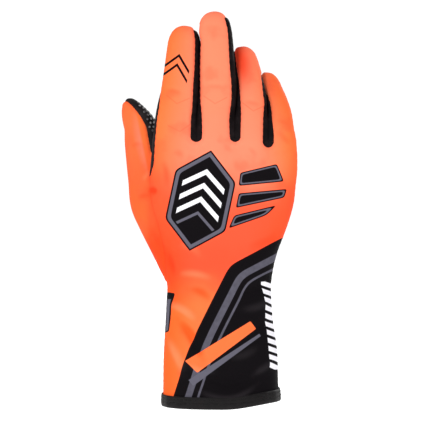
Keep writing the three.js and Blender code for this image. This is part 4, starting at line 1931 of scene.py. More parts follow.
@dataclass
class PrintSheet:
    """Flat shapes that are printed on the jersey, in millimetres across and up."""

    pad: NodePad
    edge: float = 0.14

    def __post_init__(self) -> None:
        """Reads where each point lies on the flat print."""
        self.at = self.pad.attribute("print_at", "Vector")

    def turned(self, middle: Row, degrees: float) -> tuple[Socket, Socket]:
        """Measures places from a middle along a turned cross.

        Args:
            middle: The middle's place across and up.
            degrees: How far the way up leans to the right.

        Returns:
            How far across and how far up each point is.
        """
        sine, cosine = math.sin(math.radians(degrees)), math.cos(math.radians(degrees))
        pad, (x, z) = self.pad, middle
        across = pad.minus(pad.dot(self.at, (cosine, 0, -sine)), x * cosine - z * sine)
        up = pad.minus(pad.dot(self.at, (sine, 0, cosine)), x * sine + z * cosine)
        return across, up

    def side(self, start: Row, end: Row) -> Socket:
        """Finds how far points are to the left of a line.

        Args:
            start: Where the line starts.
            end: Where it ends.

        Returns:
            The distance's socket.
        """
        run, rise = end[0] - start[0], end[1] - start[1]
        length = math.hypot(run, rise)
        direction = (-rise / length, 0, run / length)
        offset = direction[0] * start[0] + direction[2] * start[1]
        return self.pad.minus(self.pad.dot(self.at, direction), offset)

    def shape(self, corners: tuple[Row, ...], rounding: float = 0.0) -> Socket:
        """Finds how far points are inside a shape with no hollows.

        Args:
            corners: The shape's corners, anticlockwise.
            rounding: How far its corners are rounded.

        Returns:
            The distance's socket.
        """
        inside, *others = (self.side(a, b) for a, b in zip(corners, (*corners[1:], corners[0])))
        for other in others:
            if rounding:
                inside = self.pad.math("SMOOTH_MIN", inside, other, rounding)
            else:
                inside = self.pad.math("MINIMUM", inside, other)
        return inside

    def before(self, depth: float) -> Socket:
        """How far a point is to the back-of-hand side of a depth."""
        return self.pad.minus(depth, self.pad.dot(self.at, (0, 1, 0)))

    def least(self, *values: Feed) -> Socket:
        """Finds where shapes overlap.

        Args:
            values: How far a point is inside each shape.

        Returns:
            The socket of the lowest of them.
        """
        low, *others = values
        for value in others:
            low = self.pad.math("MINIMUM", low, value)
        return low

    def band(self, away: Feed, half: float) -> Socket:
        """How far a point is inside a band, by its distance from the band's middle."""
        return self.pad.minus(half, self.pad.size(away))

    def ring(self, inside: Feed, outer: float, inner: float) -> Socket:
        """How far a point is inside a line that runs along a shape's edge, within it."""
        return self.least(self.pad.minus(inside, outer), self.pad.minus(inner, inside))

    def chevron(self, cross: tuple[Feed, Feed], slope: float, shape: Row) -> Socket:
        """Finds how far points are inside a bent line.

        Args:
            cross: How far across and up points are.
            slope: How steeply its arms fall, or rise where it is below 0.
            shape: The height of its peak, and its half thickness.

        Returns:
            The distance's socket.
        """
        climb = self.pad.scaled(self.pad.size(cross[0]), slope, cross[1])
        return self.band(self.pad.minus(climb, shape[0]), shape[1])

    def spot(self, middle: Row, degrees: float, flat: float, fade: Row) -> Socket:
        """Makes a soft oval spot.

        Args:
            middle: Its middle.
            degrees: How far it leans to the right.
            flat: How much less a distance up counts than one across.
            fade: How far from the middle it starts to show, and shows in full.

        Returns:
            The socket of how much it shows, from 0 to 1.
        """
        pad = self.pad
        across, up = self.turned(middle, degrees)
        squares = pad.plus(pad.math("POWER", across, 2.0), pad.math("POWER", pad.times(up, flat), 2.0))
        return pad.between(pad.math("SQRT", squares), *fade)

    def lay(self, under: Feed, inside: Feed, colour: Feed, cover: float = 1.0) -> Socket:
        """Lays a colour over another.

        Args:
            under: The colour below.
            inside: A distance that is above 0 where the upper colour shows.
            colour: The upper colour.
            cover: How much it covers.

        Returns:
            The mixed colour's socket.
        """
        share = self.pad.between(inside, -self.edge, self.edge)
        if cover < 1:
            share = self.pad.times(share, cover)
        return self.pad.mix(share, under, colour)


@dataclass(frozen=True)
class PrintedJersey:
    """Orange knitted jersey with black, grey and white geometric blocks printed on it."""

    name: str = "orange_jersey_print"
    look: Look = Look(0.85, 0.01, 0.06)
    finger_orange: Colour = tone(255, 129, 96)
    knuckle_orange: Colour = tone(254, 129, 99)
    hand_orange: Colour = tone(252, 84, 54)
    wrist_orange: Colour = tone(252, 80, 50)
    cuff_orange: Colour = tone(255, 112, 60)
    # Painted shade: the darker, more saturated orange towards the edges of the hand, fingers, wrist and cuff
    finger_edge_shade: Colour = tone(255, 111, 54)
    hand_edge_shade: Colour = tone(250, 82, 44)
    wrist_edge_shade: Colour = tone(246, 68, 28)
    cuff_edge_shade: Colour = tone(254, 98, 36)
    thumb_orange: Colour = tone(255, 100, 58)
    thumb_low: Colour = tone(253, 98, 48)
    thumb_pink: Colour = tone(255, 120, 93)
    # Painted shade in the dents of the folds, on the cuff and the hand, then painted highlights on their
    # ridges, on the orange and on the ink
    cuff_crease_shade: Colour = tone(255, 82, 26)
    hand_crease_shade: Colour = tone(240, 58, 24)
    ridge_highlight_orange: Colour = tone(255, 142, 100)
    ink_ridge_highlight: Colour = tone(38, 34, 37)
    # Painted shadow on the ring finger where it lies beside the middle finger
    ring_shadow_red: Colour = tone(250, 70, 38)
    ink: Colour = tone(13, 10, 13)
    pale_ink: Colour = tone(92, 90, 102)
    white: Colour = tone(238, 236, 242)
    reverse: Colour = tone(214, 205, 200)

    # The knit's rows and columns, its relief, and the larger rumples below it
    knit: Row = (0.62, 1.1)
    knit_relief: Row = (0.07, 0.5)
    rumple: Row = (9.0, 3.0)
    rumple_relief: Row = (0.5, 0.35)
    # The tones up the middle, and the darker tones of painted shade up the edges; how the bands
    # of tone lean and how cloudy their borders are
    middle_tones: tuple[Blend, ...] = (
        (62, 96, wrist_orange), (96, 116, hand_orange), (128, 172, knuckle_orange),
        (175, 205, finger_orange),
    )
    edge_shade_tones: tuple[Blend, ...] = ((58, 92, wrist_edge_shade), (100, 128, hand_edge_shade), (140, 184, finger_edge_shade))
    thumb_tones: tuple[Blend, ...] = ((128, 158, thumb_orange),)
    tone_lean: float = 6.0
    cloud: float = 26.0
    patch_size: float = 14.0
    patch_range: Row = (0.52, 0.75)
    patch_cover: float = 0.3
    # The line between hand and thumb, and how far to its left the thumb's tones show
    thumb_line: tuple[Row, ...] = ((-36, 95), (-47, 150), (-44, 215))
    thumb_fade: Row = (-1, 5)
    pink_fade: Row = (0, 2)
    thumb_cover: float = 0.7
    # Each spot: middle, lean, flatness and where it fades in; the ring finger's spot is a painted shadow
    # beside the middle finger
    thumb_spot: tuple[Row, float, float, Row] = ((-51, 179), -13, 0.3, (9, 2.5))
    ring_shadow_spot: tuple[Row, float, float, Row] = ((10.5, 236), -16, 0.5, (13, 2))
    # From which place across the painted shadow on the ring finger shows
    ring_shadow_side: Row = (6.5, 9.5)
    # How far in a fold is where its painted shade starts and is full, how far out for its painted highlight,
    # and how much each covers
    dent: Row = (-0.1, -1.5)
    dent_shade_cover: float = 0.85
    ridge: Row = (0.1, 1.4)
    ridge_highlight_cover: float = 0.55
    ink_highlight_cover: float = 0.8
    # What tells orange and ink apart: red less blue, and red
    orange_range: Row = (0.3, 0.6)
    ink_range: Row = (0.09, 0.03)

    # The hexagon on the hand: middle, lean, half width, half length and shoulder height
    hexagon_middle: Row = (-14, 139)
    hexagon_lean: float = 12.0
    hexagon: Row = (21.0, 35.0, 17.0)
    hexagon_rounding: float = 3.0
    hexagon_line: Row = (1.1, 3.4)
    hexagon_margin: float = 4.6
    # Its chevrons: slope, how far across they reach, and each one's height, half thickness
    # and colour
    chevron_slope: float = 0.75
    chevron_reach: float = 14.5
    chevrons: tuple[Blend, ...] = (
        (20.0, 1.875, white), (10.5, 1.875, white), (1.0, 1.875, white), (-8.5, 1.125, pale_ink))
    # The three bars beside it
    bars: tuple[tuple[Row, ...], ...] = (
        ((13, 158), (12, 149), (43, 152), (38, 164)),
        ((12, 144), (10, 134), (43, 141), (45, 147)),
        ((9, 129), (5, 120), (31, 129), (38, 136)),
    )
    bar_rounding: float = 2.4
    bar_line: Row = (0.8, 1.7)
    # The cuff's black block: the corners of its left border from the top, how far each corner
    # is rounded, and its stripes
    block: tuple[Row, ...] = ((46, 116), (6, 95), (-20, 44), (-33, 4))
    block_rounding: Row = (5.0, 4.0)
    stripes: tuple[Row, ...] = ((7.5, 12.0), (15.5, 17.0))
    stripe_clouds: Row = (3.0, 4.0)
    stripe_wear: Row = (0.5, 0.55)
    cuff_bar: tuple[Row, ...] = ((-24, 30), (-16, 22), (24, 52), (20, 57))
    cuff_bar_rounding: float = 1.2
    cuff_line: tuple[Row, ...] = ((-22, 17), (-19, 13), (27, 47), (26, 48.5))
    # The white bars at the cuff's right edge: middle, lean, pitch, slope, half thickness, half
    # width, half height of the row and how deep it reaches
    ladder_middle: Row = (34, 54)
    ladder_lean: float = -4.0
    ladder_pitch: float = 5.6
    ladder_slope: float = 0.5
    ladder: Row = (1.7, 3.2, 30.0, 7.0)
    # The patch at its left edge, with a narrow slip in it
    patch: tuple[Row, ...] = ((-48, 79), (-48, 46), (-35, 50), (-32.6, 76))
    patch_rounding: float = 1.6
    patch_slip: tuple[Row, ...] = ((-36.6, 72), (-37.4, 50), (-35.8, 51), (-34.4, 72))
    patch_depth: float = 6.0
    # The two chevrons on the index finger, and the faint ones over the knuckles
    finger_mark: Row = (-31, 226)
    finger_mark_lean: float = 12.0
    finger_mark_slope: float = 1.1
    finger_mark_heights: Row = (12.0, 5.5)
    finger_mark_size: Row = (1.15, 9.0)
    faint_marks: tuple[tuple[Row, float], ...] = (
        ((-4, 205), 3), ((22, 200), 6), ((-28, 186), -4), ((-30, 205), 8))
    faint_slope: float = -0.6
    faint_size: Row = (0.5, 8.0)
    faint_cover: float = 0.3

    def material(self) -> bpy.types.Material:
        """Makes the material.

        Returns:
            The finished material.
        """
        pad = NodePad(self.name)
        sheet = PrintSheet(pad)
        colour = self.ground(sheet)
        for layer in (self.hand_block, self.side_bars, self.cuff_block, self.small_marks, self.fold_shading):
            colour = layer(sheet, colour)
        weave = Weave(pad, *self.knit).height()
        rumples = pad.bump(pad.noise(*self.rumple), *self.rumple_relief)
        normal = pad.bump(weave, *self.knit_relief, rumples)
        return pad.finish(pad.lined(colour, self.reverse), normal, self.look)

    def ground(self, sheet: PrintSheet) -> Socket:
        """Makes the orange under the print, lighter on the fingers and redder on the hand, with painted
        shade towards the hand's edges and a painted shadow on the ring finger.

        Args:
            sheet: The flat print.

        Returns:
            The colour's socket.
        """
        pad = sheet.pad
        _, up = sheet.turned((0, 0), self.tone_lean)
        up = pad.plus(up, pad.scaled(pad.noise(self.cloud), self.cloud, -self.cloud / 2))
        # Painted shade: the orange turns darker and more saturated towards the hand's edges
        rim = pad.graded(up, self.cuff_edge_shade, self.edge_shade_tones)
        colour = pad.mix(pad.attribute("edge"), pad.graded(up, self.cuff_orange, self.middle_tones), rim)
        low, bend, top = self.thumb_line
        on_thumb = sheet.least(sheet.side(low, bend), sheet.side(bend, top))
        thumb = pad.graded(up, self.thumb_low, self.thumb_tones)
        colour = pad.mix(pad.times(pad.between(on_thumb, *self.thumb_fade), self.thumb_cover), colour, thumb)
        pink = pad.times(sheet.spot(*self.thumb_spot), pad.between(on_thumb, *self.pink_fade))
        colour = pad.mix(pink, colour, self.thumb_pink)
        # Painted shadow: deeper red on the ring finger beside the middle finger
        on_ring = pad.between(pad.dot(sheet.at, (1, 0, 0)), *self.ring_shadow_side)
        colour = pad.mix(pad.times(sheet.spot(*self.ring_shadow_spot), on_ring), colour, self.ring_shadow_red)
        patch = pad.between(pad.noise(self.patch_size), *self.patch_range)
        return pad.mix(pad.times(patch, self.patch_cover), colour, self.hand_orange)

    def fold_shading(self, sheet: PrintSheet, under: Feed) -> Socket:
        """Paints shade into the dents of the folds and painted highlights on their ridges, on the orange and
        on the ink.

        Args:
            sheet: The flat print.
            under: The colour below.

        Returns:
            The colour's socket.
        """
        pad = sheet.pad
        fold = pad.attribute("fold")
        split = pad.node("SeparateColor")
        pad.feed(split.inputs[0], under)
        red, _, blue = split.outputs
        is_orange = pad.between(pad.minus(red, blue), *self.orange_range)
        is_ink = pad.between(red, *self.ink_range)
        low, high, _ = self.middle_tones[0]
        share = pad.between(pad.dot(sheet.at, (0, 0, 1)), low, high)
        # Painted shade for the dents, from the cuff's tone to the hand's
        deep = pad.mix(share, self.cuff_crease_shade, self.hand_crease_shade)
        dent = pad.times(pad.between(fold, *self.dent), is_orange)
        # Painted highlight on the ridges
        ridge = pad.between(fold, *self.ridge)
        colour = pad.mix(pad.times(dent, self.dent_shade_cover), under, deep)
        colour = pad.mix(pad.times(pad.times(ridge, is_orange), self.ridge_highlight_cover), colour, self.ridge_highlight_orange)
        return pad.mix(pad.times(pad.times(ridge, is_ink), self.ink_highlight_cover), colour, self.ink_ridge_highlight)

    def hand_block(self, sheet: PrintSheet, under: Feed) -> Socket:
        """Lays a long hexagon on the back of the hand, bordered, with nested chevrons in it.

        Args:
            sheet: The flat print.
            under: The colour below.

        Returns:
            The colour's socket.
        """
        pad = sheet.pad
        across, up = sheet.turned(self.hexagon_middle, self.hexagon_lean)
        wide, tall = pad.size(across), pad.size(up)
        half, length, shoulder = self.hexagon
        slope = math.hypot(half, length - shoulder)
        cap = pad.scaled(wide, -(length - shoulder) / slope, length * half / slope)
        cap = pad.scaled(tall, -half / slope, cap)
        inside = pad.math("SMOOTH_MIN", cap, pad.minus(half, wide), self.hexagon_rounding)
        colour = sheet.lay(under, inside, self.ink)
        colour = sheet.lay(colour, sheet.ring(inside, *self.hexagon_line), self.pale_ink)
        core = sheet.least(pad.minus(inside, self.hexagon_margin), pad.minus(self.chevron_reach, wide))
        for height, thick, ink in self.chevrons:
            mark = sheet.chevron((across, up), self.chevron_slope, (height, thick))
            colour = sheet.lay(colour, sheet.least(core, mark), ink)
        return colour

    def side_bars(self, sheet: PrintSheet, under: Feed) -> Socket:
        """Lays three slanted tapering bars with a grey outline beside the hexagon.

        Args:
            sheet: The flat print.
            under: The colour below.

        Returns:
            The colour's socket.
        """
        colour = under
        for corners in self.bars:
            inside = sheet.shape(corners, self.bar_rounding)
            colour = sheet.lay(colour, inside, self.ink)
            colour = sheet.lay(colour, sheet.ring(inside, *self.bar_line), self.pale_ink)
        return colour

    def cuff_block(self, sheet: PrintSheet, under: Feed) -> Socket:
        """Lays a black block over the right of the cuff with grey stripes, and one orange bar.

        Args:
            sheet: The flat print.
            under: The colour below.

        Returns:
            The colour's socket.
        """
        pad = sheet.pad
        sides = zip(self.block, self.block[1:])
        inside, *others = (pad.times(sheet.side(low, high), -1.0) for high, low in sides)
        for other, rounding in zip(others, self.block_rounding):
            inside = pad.math("SMOOTH_MIN", inside, other, rounding)
        colour = sheet.lay(under, inside, self.ink)
        wear = pad.scaled(pad.noise(*self.stripe_clouds), *self.stripe_wear)
        stripe = pad.mix(wear, self.ink, self.pale_ink)
        for start, end in self.stripes:
            colour = sheet.lay(colour, sheet.ring(inside, start, end), stripe)
        on_back = sheet.before(0.0)
        bar = sheet.least(on_back, sheet.shape(self.cuff_bar, self.cuff_bar_rounding))
        colour = sheet.lay(colour, bar, self.cuff_orange)
        return sheet.lay(colour, sheet.least(on_back, sheet.shape(self.cuff_line)), self.pale_ink)

    def small_marks(self, sheet: PrintSheet, under: Feed) -> Socket:
        """Lays the white bars and the patch at the cuff's edges, and chevrons on the fingers.

        Args:
            sheet: The flat print.
            under: The colour below.

        Returns:
            The colour's socket.
        """
        pad = sheet.pad
        across, up = sheet.turned(self.ladder_middle, self.ladder_lean)
        half = self.ladder_pitch / 2
        local = pad.math("WRAP", pad.scaled(across, self.ladder_slope, up), half, -half)
        thick, wide, tall, depth = self.ladder
        bars = sheet.least(
            sheet.band(local, thick), sheet.band(across, wide), sheet.band(up, tall), sheet.before(depth))
        colour = sheet.lay(under, bars, self.white)
        beside = sheet.before(self.patch_depth)
        patch = sheet.least(beside, sheet.shape(self.patch, self.patch_rounding))
        colour = sheet.lay(colour, patch, self.ink)
        colour = sheet.lay(colour, sheet.least(beside, sheet.shape(self.patch_slip)), self.pale_ink)
        cross = sheet.turned(self.finger_mark, self.finger_mark_lean)
        thick, reach = self.finger_mark_size
        for height in self.finger_mark_heights:
            mark = sheet.chevron(cross, self.finger_mark_slope, (height, thick))
            colour = sheet.lay(colour, sheet.least(mark, sheet.band(cross[0], reach)), self.ink)
        thick, reach = self.faint_size
        for middle, lean in self.faint_marks:
            cross = sheet.turned(middle, lean)
            mark = sheet.chevron(cross, self.faint_slope, (0.0, thick))
            faint = sheet.least(mark, sheet.band(cross[0], reach))
            colour = sheet.lay(colour, faint, self.hand_orange, self.faint_cover)
        return colour


@dataclass(frozen=True)
class GripSuede:
    """Black suede-like microfibre with a short brushed nap."""

    name: str = "black_suede_grip"
    look: Look = Look(0.9, 0.04)
    nap: Colour = tone(22, 18, 20)
    worn: Colour = tone(44, 39, 40)
    reverse: Colour = tone(70, 66, 68)
    # Clouds of brushed nap: their size and detail, from and to which value they show, how much
    clouds: Row = (7.0, 3.0)
    brushed: Row = (0.35, 0.7)
    brushed_cover: float = 0.6
    # Fibres and soft dents: size with detail, and depth with strength
    fibres: Row = (0.5, 3.0)
    fibre_relief: Row = (0.12, 0.6)
    dents: float = 8.0
    dent_relief: Row = (0.5, 0.3)

    def material(self) -> bpy.types.Material:
        """Makes the material.

        Returns:
            The finished material.
        """
        pad = NodePad(self.name)
        brushed = pad.between(pad.noise(*self.clouds), *self.brushed)
        colour = pad.mix(pad.times(brushed, self.brushed_cover), self.nap, self.worn)
        dents = pad.bump(pad.noise(self.dents), *self.dent_relief)
        normal = pad.bump(pad.noise(*self.fibres), *self.fibre_relief, dents)
        return pad.finish(pad.lined(colour, self.reverse), normal, self.look)


@dataclass(frozen=True)
class GripSilicone:
    """Pale grey silicone, worn and mottled, as printed in dots on the suede."""

    name: str = "pale_silicone"
    look: Look = Look(0.5, 0.0, 0.4)
    pale: Colour = tone(150, 146, 147)
    grimy: Colour = tone(74, 70, 71)
    # Clouds of wear: their size and detail, and from and to which value they show
    clouds: Row = (4.5, 3.0)
    wear: Row = (0.36, 0.6)
    grain: float = 0.4
    grain_relief: Row = (0.05, 0.4)

    def material(self) -> bpy.types.Material:
        """Makes the material.

        Returns:
            The finished material.
        """
        pad = NodePad(self.name)
        colour = pad.mix(pad.between(pad.noise(*self.clouds), *self.wear), self.grimy, self.pale)
        return pad.finish(colour, pad.bump(pad.noise(self.grain), *self.grain_relief), self.look)


@dataclass(frozen=True)
class RibbedStretch:
    """Black stretch fabric with fine ribs."""

    name: str = "black_stretch_rib"
    look: Look = Look(0.8, 0.0, 0.08)
    dark: Colour = tone(10, 7, 8)
    light: Colour = tone(34, 26, 28)
    rib: float = 0.8
    rib_relief: Row = (0.12, 0.7)
    # How much clouds of this size and the ribs count for the shade
    clouds: float = 5.0
    cloud_share: float = 0.8
    rib_share: float = 0.25
    shade: Row = (0.3, 0.9)

    def material(self) -> bpy.types.Material:
        """Makes the material.

        Returns:
            The finished material.
        """
        pad = NodePad(self.name)
        weave = Weave(pad, self.rib, self.rib).height()
        shade = pad.scaled(pad.noise(self.clouds), self.cloud_share, pad.times(weave, self.rib_share))
        colour = pad.mix(pad.between(shade, *self.shade), self.dark, self.light)
        return pad.finish(colour, pad.bump(weave, *self.rib_relief), self.look)


@dataclass(frozen=True)
class FoldedTape:
    """Black woven tape, a little shiny, and the thread that is sewn through it."""

    name: str = "black_tape_weave"
    look: Look = Look(0.62, 0.04, 0.16)
    dark: Colour = tone(9, 7, 8)
    light: Colour = tone(26, 22, 23)
    weave: Row = (0.9, 1.3)
    weave_relief: Row = (0.12, 0.7)
    dents: float = 6.0
    dent_relief: Row = (0.4, 0.4)
    # How much clouds of this size and detail and the weave count for the shade
    clouds: Row = (4.0, 3.0)
    cloud_share: float = 0.6
    weave_share: float = 0.5
    shade: Row = (0.25, 0.95)

    def material(self) -> bpy.types.Material:
        """Makes the material.

        Returns:
            The finished material.
        """
        pad = NodePad(self.name)
        weave = Weave(pad, *self.weave).height()
        clouds = pad.times(pad.noise(*self.clouds), self.cloud_share)
        shade = pad.scaled(weave, self.weave_share, clouds)
        colour = pad.mix(pad.between(shade, *self.shade), self.dark, self.light)
        dents = pad.bump(pad.noise(self.dents), *self.dent_relief)
        normal = pad.bump(weave, *self.weave_relief, dents)
        return pad.finish(colour, normal, self.look)


@dataclass(frozen=True)
class PaleFloor:
    """A plain matt white floor that glows a little, more so towards its far edges."""

    name: str = "floor_white"
    look: Look = Look(0.95, 0.0, 0.1)
    colour: Colour = (0.93, 0.93, 0.93)
    near_glow: float = 0.64
    far_glow: float = 0.9
    near: float = 0.8
    far: float = 2.4
    grain: float = 3.0
    grain_relief: Row = (0.01, 0.1)

    def material(self) -> bpy.types.Material:
        """Makes the material.

        Returns:
            The finished material.
        """
        pad = NodePad(self.name)
        length = pad.node("VectorMath")
        length.operation = "LENGTH"
        pad.feed(length.inputs[0], pad.place())
        share = pad.between(length.outputs["Value"], self.near, self.far)
        pad.shader.inputs["Emission Color"].default_value = (1, 1, 1, 1)
        glow = pad.scaled(share, self.far_glow - self.near_glow, self.near_glow)
        pad.feed(pad.shader.inputs["Emission Strength"], glow)
        grain = pad.bump(pad.noise(self.grain), *self.grain_relief)
        return pad.finish(self.colour, grain, self.look)


@dataclass
class HemBand:
    """The tape that is folded over the lower edge of the cuff, with two rows of stitches."""

    form: HandForm
    sides: int = 260
    run_steps: int = 2000
    # The section of the folded tape, as out from the fabric's face and up, anticlockwise
    section: tuple[Row, ...] = (
        (0.25, 8.0), (0.7, 8.2), (1.15, 8.1), (1.4, 7.7), (1.52, 6.9), (1.3, 6.3), (1.5, 5.6),
        (1.58, 4.6), (1.4, 3.9), (1.58, 3.2), (1.62, 2.2), (1.55, 1.2), (1.25, 0.45), (0.6, 0.08),
        (-0.4, -0.02), (-1.6, 0.05), (-2.4, 0.4), (-2.8, 1.1), (-2.85, 3.0), (-2.8, 6.8),
        (-2.55, 7.8), (-2.1, 8.05), (-1.65, 7.8), (-1.6, 5.0), (-1.6, 2.2), (-0.7, 1.9), (0.2, 2.2),
        (0.25, 5.0),
    )
    # The tape's slight waves: how high, how many and how far out on the section they start
    wave: float = 0.12
    waves: int = 23
    wave_from: float = 0.3
    stitch_rows: Row = (6.3, 3.9)
    stitch_out: Row = (1.45, 1.55)
    stitch_pitch: float = 2.9
    stitch_length: float = 2.1
    stitch_radius: float = 0.24

    def __post_init__(self) -> None:
        """Measures the run round the cuff at its lower edge."""
        self.fine = np.linspace(0, 2 * math.pi, self.run_steps)
        ring = self.ring(self.fine, 0.0, 0.0)
        self.run = np.concatenate([[0], np.cumsum(np.linalg.norm(np.diff(ring, axis=0), axis=1))])

    def ring(self, angles: Array, out: Array | float, height: float) -> Array:
        """Finds points round the cuff.

        Args:
            angles: The angle of each point.
            out: How far each is out from the fabric's face.
            height: The height of all of them.

        Returns:
            The points.
        """
        level = np.full(len(angles), height)
        rows = self.form.body_at(np.maximum(level, 0))
        power = 2 / self.form.body_squareness
        unit = np.stack([np.cos(angles), np.sin(angles)], 1)
        unit = np.sign(unit) * np.abs(unit) ** power
        base = np.column_stack([rows[:, :2] + unit * rows[:, 2:], np.maximum(level, 0)])
        grow = out + Relief(self.form).folds_at(base)
        flat = rows[:, :2] + unit * (rows[:, 2:] + grow[:, None])
        return HemLift().moved(np.column_stack([flat, level]))

    def angles(self, count: int) -> Array:
        """Evenly spaced angles round the cuff, by the length between them."""
        return np.interp(np.arange(count) / count * self.run[-1], self.run, self.fine)

    def tape(self) -> bpy.types.Object:
        """Makes the folded tape as one closed ring.

        Returns:
            The new object.
        """
        angles = self.angles(self.sides)
        wave = self.wave * np.sin(np.arange(self.sides) * 2 * math.pi / self.sides * self.waves)
        rings = [self.ring(angles, out + wave * (out > self.wave_from), up) for out, up in self.section]
        place = np.arange(self.sides * len(rings)).reshape(self.sides, len(rings))
        after = np.roll(place, -1, 0)
        faces = np.stack([place, np.roll(place, -1, 1), np.roll(after, -1, 1), after], -1)
        mesh = mesh_of(Panel.HEM.value, np.stack(rings, 1).reshape(-1, 3), faces.reshape(-1, 4))
        return object_of(f"{Panel.HEM.value}_tape", mesh)

    def stitches(self) -> bpy.types.Object:
        """Makes two rows of stitches in the dents of the tape.

        Returns:
            One object of closed threads.
        """
        count = int(self.run[-1] / self.stitch_pitch)
        starts = self.angles(count)
        turn = 2 * math.pi / count * self.stitch_length / self.stitch_pitch
        ends = []
        for up, out in zip(self.stitch_rows, self.stitch_out):
            ends += zip(self.ring(starts, out, up), self.ring(starts + turn, out, up))
        return threads("hem_stitches", ends, self.stitch_radius)


def thread(start: Array, end: Array, radius: float) -> tuple[Array, Array]:
    """Makes one short stitch.

    Args:
        start: Where the thread comes out.
        end: Where it goes back in.
        radius: Its radius.

    Returns:
        The points and the quad faces of a closed thread that thins at both ends.
    """
    sides = 6
    # Each ring: how far along the thread, and its share of the radius
    rings = ((0.0, 0.25), (0.12, 0.8), (0.35, 1.0), (0.65, 1.0), (0.88, 0.8), (1.0, 0.25))
    along = (end - start) / np.linalg.norm(end - start)
    out = np.cross(along, [0.0, 0.0, 1.0])
    out /= np.linalg.norm(out)
    angles = np.arange(sides) * 2 * math.pi / sides
    around = np.cos(angles)[:, None] * out + np.sin(angles)[:, None] * np.cross(out, along)
    points = np.concatenate([start + (end - start) * run + around * radius * share for run, share in rings])
    place = np.arange(len(points)).reshape(len(rings), sides)
    side = np.roll(place, -1, 1)
    walls = np.stack([place[:-1], side[:-1], side[1:], place[1:]], -1).reshape(-1, 4)
    first, last = place[0], place[-1]
    caps = [first[[3, 2, 1, 0]], first[[5, 4, 3, 0]], last[[0, 1, 2, 3]], last[[0, 3, 4, 5]]]
    return points, np.concatenate([walls, caps])


def threads(name: str, ends: list[tuple[Array, Array]], radius: float) -> bpy.types.Object:
    """Makes one object of many stitches.

    Args:
        name: The object's name.
        ends: Where each stitch starts and ends.
        radius: The thread's radius.

    Returns:
        The new object.
    """
    points, faces = zip(*(thread(start, end, radius) for start, end in ends))
    each = len(points[0])
    walls = np.concatenate([face + number * each for number, face in enumerate(faces)])
    return object_of(name, mesh_of(name, np.concatenate(points), walls))


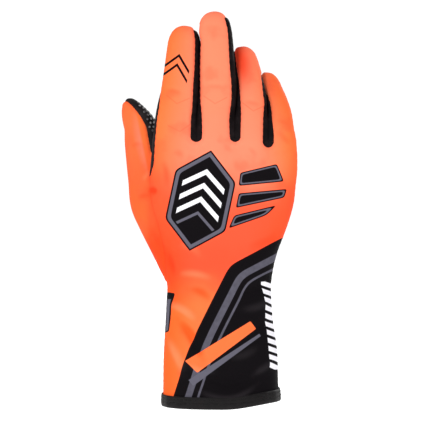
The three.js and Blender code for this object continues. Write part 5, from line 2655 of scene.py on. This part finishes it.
@dataclass
class Studio:
    """The floor, the lights and the camera."""

    camera_at: Row = (-7.14, -1200.0, 132.3)
    lens: float = 150.9
    sensor: float = 36.0
    floor_height: float = -70.0
    floor_half: float = 6000.0
    surround: float = 1.05
    dim: float = 0.42
    band: Row = (0.13, 0.34)
    # How near and how far the camera sees, in metres
    seen_range: Row = (0.01, 100.0)
    lit_middle: Row = (0.0, 0.0, 130.0)
    # Each light: name, place, size, power
    lights: tuple[tuple[str, Row, float, float], ...] = (
        ("key", (-420.0, -1100.0, 860.0), 300.0, 9.5),
        ("fill", (600.0, -1300.0, 200.0), 700.0, 1.5),
        ("back", (500.0, 1100.0, 700.0), 700.0, 8.0),
    )

    def build(self) -> None:
        """Makes all of the studio."""
        scene = bpy.context.scene
        scene.view_settings.view_transform = "Standard"
        self.make_surround()
        self.make_floor()
        self.make_camera()
        for row in self.lights:
            self.make_light(*row)

    def make_surround(self) -> None:
        """Makes the light all round: a white band at eye level, dimmer above and below."""
        world = bpy.data.worlds.new("studio_light")
        world.use_nodes = True
        nodes, link = world.node_tree.nodes, world.node_tree.links.new
        kinds = ("SeparateXYZ", "Math", "MapRange")
        split, height, band = (nodes.new(f"ShaderNode{kind}") for kind in kinds)
        link(nodes.new("ShaderNodeTexCoord").outputs["Generated"], split.inputs[0])
        height.operation = "ABSOLUTE"
        link(split.outputs[2], height.inputs[0])
        link(height.outputs[0], band.inputs["Value"])
        limits = (*self.band, self.surround, self.dim)
        for name, value in zip(("From Min", "From Max", "To Min", "To Max"), limits):
            band.inputs[name].default_value = value
        link(band.outputs["Result"], nodes["Background"].inputs["Strength"])
        nodes["Background"].inputs["Color"].default_value = (1, 1, 1, 1)
        bpy.context.scene.world = world

    def make_floor(self) -> None:
        """Makes the plain pale floor, which isn't part of the glove."""
        half = self.floor_half
        corners = ((-half, -half), (half, -half), (half, half), (-half, half))
        points = np.array([(x, y, self.floor_height) for x, y in corners])
        floor = object_of("floor", mesh_of("floor", points, np.array([[0, 1, 2, 3]])))
        floor.data.materials.append(PaleFloor().material())

    def make_camera(self) -> None:
        """Makes the camera at the photograph's place and angle."""
        data = bpy.data.cameras.new("camera")
        data.lens = self.lens
        data.sensor_width = self.sensor
        data.clip_start, data.clip_end = self.seen_range
        camera = object_of("camera", data)
        camera.location = Vector(self.camera_at) * MM
        camera.rotation_euler = (math.pi / 2, 0, 0)
        bpy.context.scene.camera = camera

    def make_light(self, name: str, place: Row, size: float, power: float) -> None:
        """Makes a soft square light that faces the middle of the glove.

        Args:
            name: The light's name.
            place: Where it is.
            size: The length of its sides.
            power: Its power in watts.
        """
        data = bpy.data.lights.new(name, "AREA")
        data.size = size * MM
        data.energy = power
        light = object_of(name, data)
        light.location = Vector(place) * MM
        target = Vector(self.lit_middle) * MM
        light.rotation_euler = (target - light.location).to_track_quat("-Z", "Y").to_euler()


@dataclass
class Glove:
    """The whole glove, and which finish and slot each of its panels has."""

    slots: dict[Panel, Slot] = field(default_factory=lambda: {
        Panel.BACK: Slot.JERSEY, Panel.PALM: Slot.SUEDE, Panel.CUFF_UNDERSIDE: Slot.JERSEY,
        Panel.THUMB_BACK: Slot.JERSEY, Panel.THUMB_PALM: Slot.SUEDE,
        Panel.INDEX_MIDDLE: Slot.STRETCH, Panel.MIDDLE_RING: Slot.STRETCH,
        Panel.RING_LITTLE: Slot.STRETCH, Panel.HEM: Slot.TAPE,
    })

    def build(self) -> None:
        """Makes each piece, dresses it and ties it to the frame."""
        finishes = {
            Slot.JERSEY: PrintedJersey().material(),
            Slot.SUEDE: GripSuede().material(),
            Slot.STRETCH: RibbedStretch().material(),
            Slot.TAPE: FoldedTape().material(),
        }
        form = HandForm()
        shell = Shell(form)
        pieces = shell.build()
        band = HemBand(form)
        pieces[Panel.HEM] = band.tape()
        for panel, piece in pieces.items():
            slot = self.slots[panel]
            self.dress(piece, finishes[slot], slot, panel)
        for piece in (band.stitches(), PalmStitches(shell.sheet).build()):
            self.dress(piece, finishes[Slot.TAPE], Slot.TAPE)
        silicone = GripSilicone().material()
        for piece in GripDots(form, shell.sheet).build():
            self.dress(piece, silicone, Slot.SUEDE)

    @staticmethod
    def dress(
        piece: bpy.types.Object, finish: bpy.types.Material, slot: Slot, panel: Panel | None = None,
    ) -> None:
        """Gives a piece its finish, ties it to the frame and reports it.

        Args:
            piece: The piece.
            finish: Its material.
            slot: Its slot in the record; not used.
            panel: The panel that it replaces, if any.
        """
        piece.data.materials.append(finish)
        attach(piece, BODY)
        if panel is not None:
            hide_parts(panel.value)
        log.info("%s: %d faces", piece.name, len(piece.data.polygons))


def main() -> None:
    """Builds the glove and its studio."""
    Glove().build()
    Studio().build()


if __name__ == "__main__":
    main()
